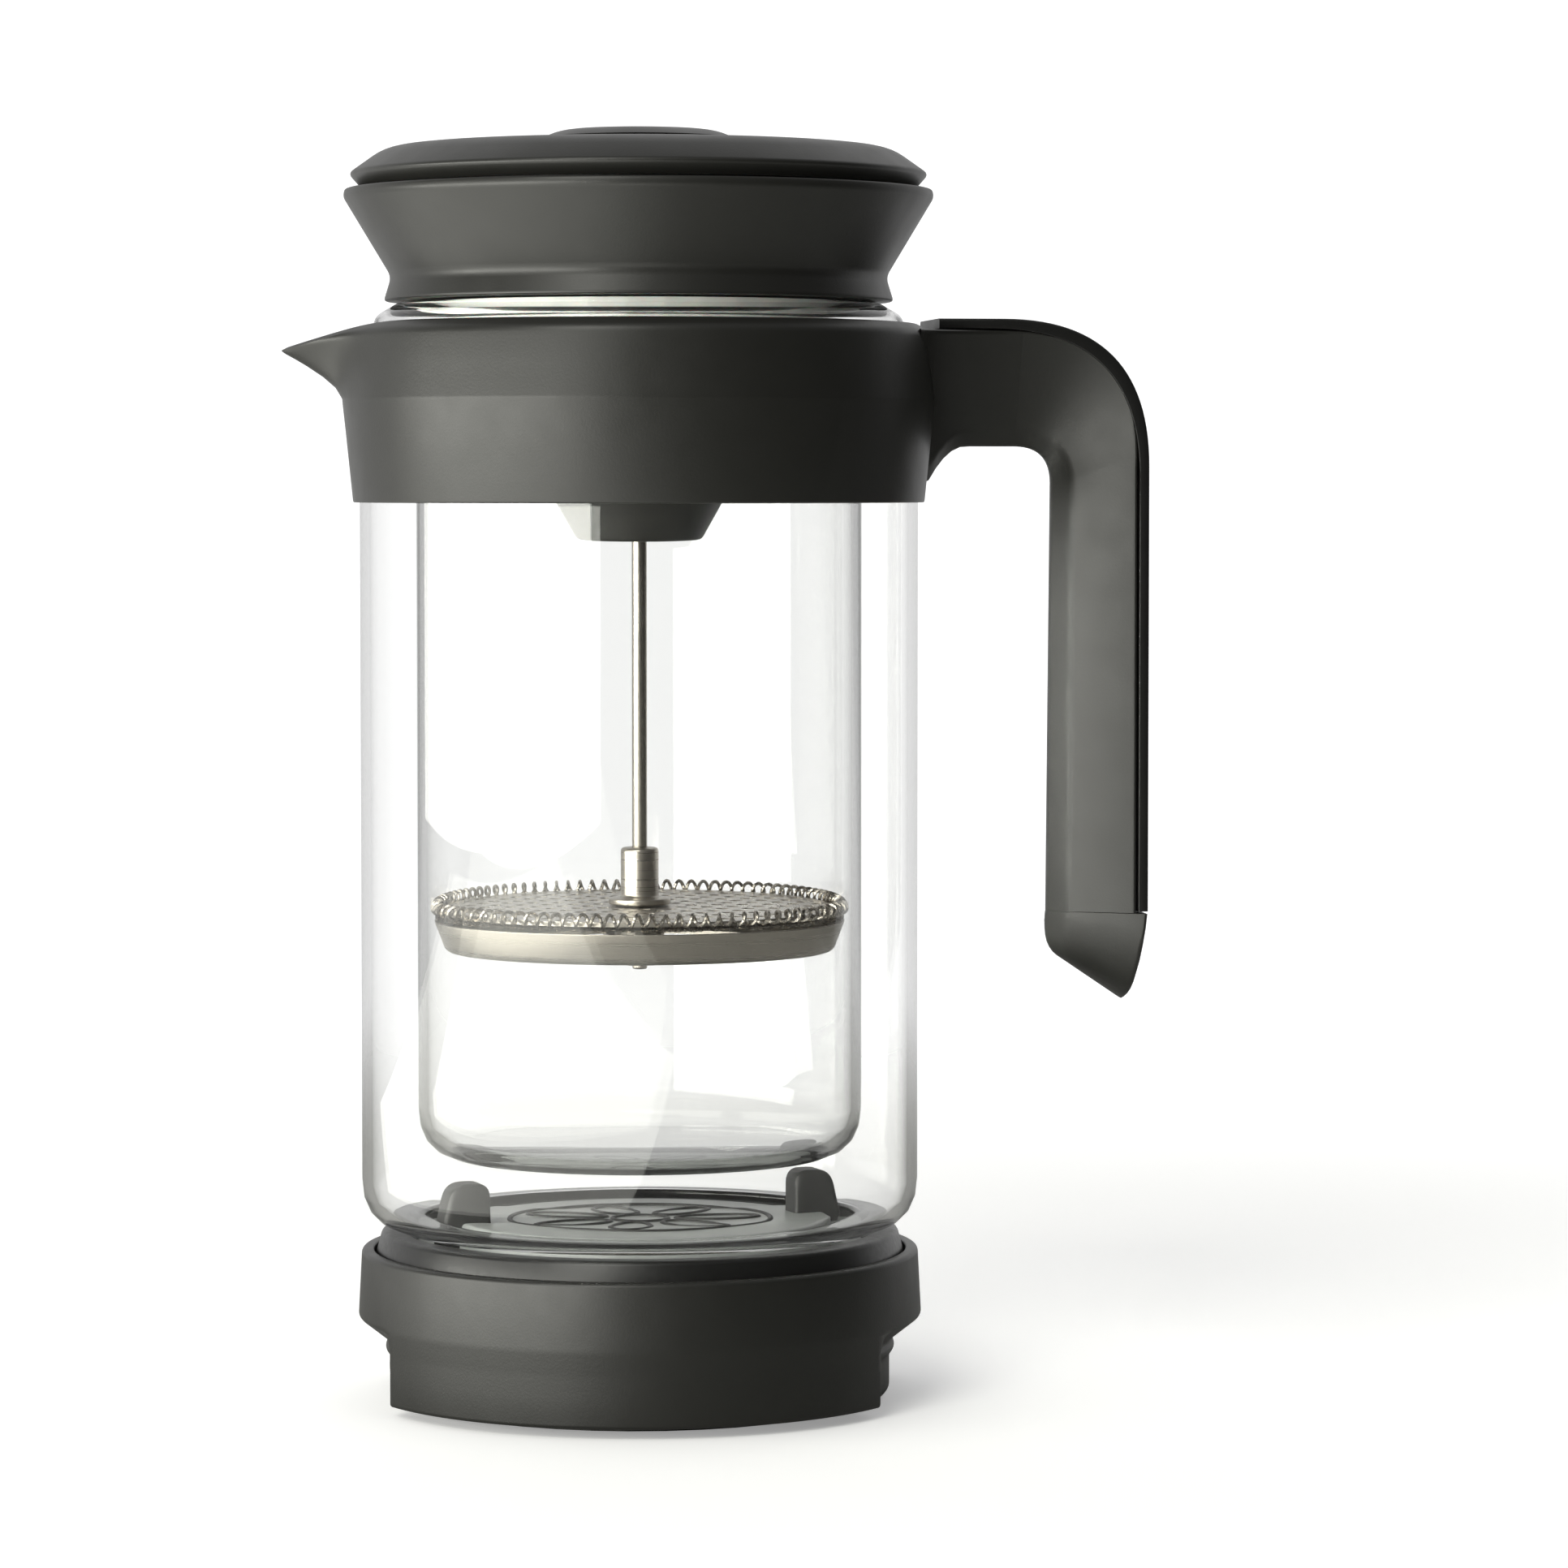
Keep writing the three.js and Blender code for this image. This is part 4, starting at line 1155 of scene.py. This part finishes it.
def window_cutter(turn):
    """A block in the shape of one window of the pan's floor."""
    quarter = 2 * math.pi / WINDOWS
    outline = []
    for t in shares(WINDOW_STEPS):
        angle = turn + WINDOW["outer_gap"] + (quarter - 2 * WINDOW["outer_gap"]) * t
        outline.append((WINDOW["outer"] * math.cos(angle), WINDOW["outer"] * math.sin(angle)))
    for t in shares(WINDOW_STEPS):
        angle = turn + quarter - WINDOW["inner_gap"] - (quarter - 2 * WINDOW["inner_gap"]) * t
        outline.append((WINDOW["inner"] * math.cos(angle), WINDOW["inner"] * math.sin(angle)))
    return lofted([[(x, y, level) for x, y in outline] for level in (WINDOW["bottom"], WINDOW["top"])])


KNOB_PROFILE = [
    (3.4, 249.0), (6.0, 249.0, 0.4), (6.0, 252.2), (19.4, 252.2, 0.4), (15.6, 253.8, 2.4),
    (0, 254.0), (0, 252.6), (3.4, 252.6),
]
ROD_PROFILE = [(0, 85.8), (1.5, 85.8, 0.5), (1.5, 252.2), (0, 252.2)]
HUB_FERRULE_PROFILE = [
    (1.8, 98.7), (6.2, 98.7, 0.3), (6.2, 100.0, 0.4), (3.8, 100.3, 0.5), (3.8, 110.0, 0.8),
    (1.8, 110.0, 0.2),
]
PAN_PROFILE = [
    (1.8, 90.0), (39.0, 90.0, 1.2), (41.3, 96.2, 0.2), (40.5, 96.2, 0.2), (38.2, 90.8, 0.9),
    (1.8, 90.8),
]
HUB_NUT_PROFILE = [(1.8, 86.8), (5.2, 86.8, 0.5), (5.2, 89.7, 0.5), (1.8, 89.7)]


class PRESS_OT_plunger(bpy.types.Operator):
    """Makes the knob, the rod and the filter stack"""

    bl_idname = "press.plunger"
    bl_label = "Plunger"

    def execute(self, context):
        turned_piece("knob", KNOB_PROFILE, "plunger", "shell")
        turned_piece("rod", ROD_PROFILE, "plunger", "drawn", SMALL_SEGMENTS)
        turned_piece("hub_ferrule", HUB_FERRULE_PROFILE, "plunger", "turned", SMALL_SEGMENTS)
        self.make_filter(context.scene.press_sizes)
        self.make_pan()
        turned_piece("hub_nut", HUB_NUT_PROFILE, "plunger", "turned", NUT_SIDES)
        return {"FINISHED"}

    def make_filter(self, sizes):
        """The perforated plate, the ring spring on its rim and the woven screen below it."""
        plate = grown(
            "perforated_plate_fine",
            perforated_tree(),
            "turned",
            hole_pitch=sizes.hole_pitch,
            hole_radius=sizes.hole_radius,
            **in_metres(PLATE),
        )
        seat(plate, "plunger", "turned", "perforated_plate")
        spring = grown(
            "spring_coil_fine",
            spring_tree(),
            "drawn",
            turns=sizes.spring_turns,
            wire_radius=sizes.spring_wire,
            **in_metres(SPRING),
        )
        seat(spring, "plunger", "drawn", "spring_coil")
        screen = grown(
            "mesh_screen_fine", weave_tree(), "drawn", pitch=sizes.weave_pitch, **in_metres(SCREEN)
        )
        seat(screen, "plunger", "drawn", "mesh_screen")

    def make_pan(self):
        """The stamped pan, its floor opened by windows that leave a cross."""
        pan = mesh_object("cross_plate_fine", turned_shape(PAN_PROFILE))
        for i in range(WINDOWS):
            combine(pan, mesh_object("window", window_cutter(i * 2 * math.pi / WINDOWS)), "DIFFERENCE")
        seat(pan, "plunger", "turned", "cross_plate")


# ---------------------------------------------------------------- stage
SOFTBOX = {"azimuth": math.radians(-64), "distance": 1.0, "width": 1.6, "height": 0.3, "foot": 0.01}
CARD = {"near": 0.14, "far": 0.95, "width": 0.85, "level": 0.001}
KEY = {"azimuth": math.radians(-31), "elevation": math.radians(37), "spread": math.radians(30)}
LAMP_COLOUR = (1.0, 1.0, 0.93)
FLOOR_LEVEL = -0.0002
PAPER_ROUGHNESS = 0.8
PAPER_SHINE = 0.1
FLOOR_RADIUS = 2.4
FLOOR_GLOW = 0.28
BOUNCE_COLOUR = (0.42, 0.42, 0.41, 1.0)
FLOOR_FADE = (0.32, 0.85)
WHITE = (1.0, 1.0, 1.0, 1.0)
DARK = 0.03
BACKDROP = 0.75
SURROUND = 1.2
BACKDROP_EDGE = (0.15, 0.6)


def level_direction(azimuth):
    return Vector((math.sin(azimuth), -math.cos(azimuth), 0.0))


def make_camera(studio):
    camera = bpy.data.objects.new("camera", bpy.data.cameras.new("camera"))
    bpy.context.scene.collection.objects.link(camera)
    right = Vector((math.cos(studio.azimuth), math.sin(studio.azimuth), 0.0))
    aim = right * studio.aim_side + Vector((0.0, 0.0, studio.aim_height))
    camera.location = level_direction(studio.azimuth) * studio.distance + Vector((0.0, 0.0, studio.height))
    camera.rotation_euler = (aim - camera.location).to_track_quat("-Z", "Y").to_euler()
    camera.data.lens = studio.lens
    camera.data.sensor_width = 36.0
    bpy.context.scene.camera = camera


def eased(tree, value, source, target):
    """value taken from one range to another with soft ends."""
    ends = {"From Min": source[0], "From Max": source[1], "To Min": target[0], "To Max": target[1]}
    return add_node(
        tree, "ShaderNodeMapRange", {"interpolation_type": "SMOOTHSTEP"}, {"Value": value, **ends}
    ).outputs[0]


def make_world(strength):
    """White to the camera. For light, a pale backdrop behind, dark in front, and a glow overhead."""
    world = bpy.data.worlds.new("studio")
    bpy.context.scene.world = world
    world.use_nodes = True
    tree = world.node_tree
    tree.nodes.clear()
    direction = add_node(tree, "ShaderNodeTexCoord").outputs["Generated"]
    parts = add_node(tree, "ShaderNodeSeparateXYZ", inputs={0: direction}).outputs
    overhead = eased(tree, parts[2], (0.2, 0.9), (DARK, strength))
    backdrop = eased(tree, parts[1], BACKDROP_EDGE, (0.0, BACKDROP))
    glow = calculate(tree, "ADD", overhead, backdrop)
    lit = add_node(tree, "ShaderNodeBackground", inputs={"Color": WHITE, "Strength": glow})
    seen = add_node(tree, "ShaderNodeBackground", inputs={"Color": WHITE, "Strength": SURROUND})
    mixed = blended(tree, seen_straight(tree), lit.outputs[0], seen.outputs[0])
    add_node(tree, "ShaderNodeOutputWorld", inputs={"Surface": mixed})


def make_light(name, kind, power, place, aim):
    light = bpy.data.objects.new(name, bpy.data.lights.new(name, kind))
    bpy.context.scene.collection.objects.link(light)
    light.data.energy = power
    light.data.color = LAMP_COLOUR
    light.location = place
    light.rotation_euler = (aim - place).to_track_quat("-Z", "Y").to_euler()
    light.visible_camera = False
    return light


def make_area(name, power, place, aim, width, height):
    light = make_light(name, "AREA", power, place, aim)
    light.data.shape = "RECTANGLE"
    light.data.size = width
    light.data.size_y = height
    return light


def make_lights(studio):
    """A long softbox on the left, a lit card on the floor before it, and a soft key high in front."""
    side = level_direction(SOFTBOX["azimuth"])
    middle = Vector((0.0, 0.0, SOFTBOX["foot"] + SOFTBOX["height"] / 2))
    place = side * SOFTBOX["distance"] + middle
    make_area("softbox", studio.softbox_power, place, middle, SOFTBOX["width"], SOFTBOX["height"])
    place = side * (CARD["near"] + CARD["far"]) / 2 + Vector((0.0, 0.0, CARD["level"]))
    above = place + Vector((0.0, 0.0, 1.0))
    card = make_area("floor card", studio.card_power, place, above, CARD["far"] - CARD["near"], CARD["width"])
    card.rotation_euler = (math.pi, 0.0, SOFTBOX["azimuth"] - math.pi / 2)
    towards = level_direction(KEY["azimuth"]) * math.cos(KEY["elevation"])
    towards.z = math.sin(KEY["elevation"])
    make_light("key", "SUN", studio.key_strength, towards, Vector()).data.angle = KEY["spread"]


def make_floor(colour):
    """A sheet of pale paper that fades out into the white surroundings."""
    circle = even_angles(FLOOR_SEGMENTS)
    vertices = [(FLOOR_RADIUS * math.cos(a), FLOOR_RADIUS * math.sin(a), FLOOR_LEVEL) for a in circle]
    mesh = bpy.data.meshes.new("floor")
    mesh.from_pydata(vertices, [], [list(range(len(vertices)))])
    floor = bpy.data.objects.new("floor", mesh)
    bpy.context.scene.collection.objects.link(floor)
    finish, tree, shader, place = new_finish("floor paper")
    shader.inputs["Roughness"].default_value = PAPER_ROUGHNESS
    shader.inputs["Specular IOR Level"].default_value = PAPER_SHINE
    shader.inputs["Emission Color"].default_value = WHITE
    shader.inputs["Emission Strength"].default_value = FLOOR_GLOW
    tree.links.new(tinted(tree, colour, 0.01, noise(tree, place, 9.0)), shader.inputs["Base Color"])
    fade = eased(tree, vector_length(tree, place), FLOOR_FADE, (0.0, 1.0))
    clear = add_node(tree, "ShaderNodeBsdfTransparent").outputs[0]
    dim = add_node(tree, "ShaderNodeBsdfDiffuse", inputs={"Color": BOUNCE_COLOUR}).outputs[0]
    paper = blended(tree, seen_straight(tree), dim, shader.outputs[0])
    faded = blended(tree, fade, paper, clear)
    tree.links.new(faded, tree.nodes["Material Output"].inputs["Surface"])
    mesh.materials.append(finish)


class PRESS_OT_stage(bpy.types.Operator):
    """Sets up the camera, the lights, the white surroundings and the floor"""

    bl_idname = "press.stage"
    bl_label = "Stage"

    def execute(self, context):
        studio = context.scene.press_studio
        make_camera(studio)
        make_world(studio.dome_strength)
        make_lights(studio)
        make_floor(context.scene.press_colours.floor)
        context.scene.view_settings.view_transform = "Standard"
        return {"FINISHED"}


# ---------------------------------------------------------------- add-on
MAKERS = (
    PRESS_OT_stage,
    PRESS_OT_finishes,
    PRESS_OT_base,
    PRESS_OT_glass,
    PRESS_OT_collar,
    PRESS_OT_funnel,
    PRESS_OT_lid,
    PRESS_OT_plunger,
)


class PRESS_PT_panel(bpy.types.Panel):
    """Lists what makes the press, and its sizes, colours and studio"""

    bl_idname = "PRESS_PT_panel"
    bl_label = "French Press"
    bl_space_type = "VIEW_3D"
    bl_region_type = "UI"
    bl_category = "French Press"

    def draw(self, context):
        for maker in MAKERS:
            self.layout.operator(maker.bl_idname)
        scene = context.scene
        for group in (scene.press_sizes, scene.press_colours, scene.press_studio):
            box = self.layout.box()
            for name in group.__annotations__:
                box.prop(group, name)


GROUPS = {"press_sizes": PressSizes, "press_colours": PressColours, "press_studio": PressStudio}


def register():
    for group in GROUPS.values():
        bpy.utils.register_class(group)
    for name, group in GROUPS.items():
        setattr(bpy.types.Scene, name, PointerProperty(type=group))
    for maker in MAKERS:
        bpy.utils.register_class(maker)
    bpy.utils.register_class(PRESS_PT_panel)


def unregister():
    bpy.utils.unregister_class(PRESS_PT_panel)
    for maker in reversed(MAKERS):
        bpy.utils.unregister_class(maker)
    for name, group in GROUPS.items():
        delattr(bpy.types.Scene, name)
        bpy.utils.unregister_class(group)


def main():
    register()
    bpy.ops.press.stage()
    bpy.ops.press.finishes()
    bpy.ops.press.base()
    bpy.ops.press.glass()
    bpy.ops.press.collar()
    bpy.ops.press.funnel()
    bpy.ops.press.lid()
    bpy.ops.press.plunger()


if __name__ == "__main__":
    main()
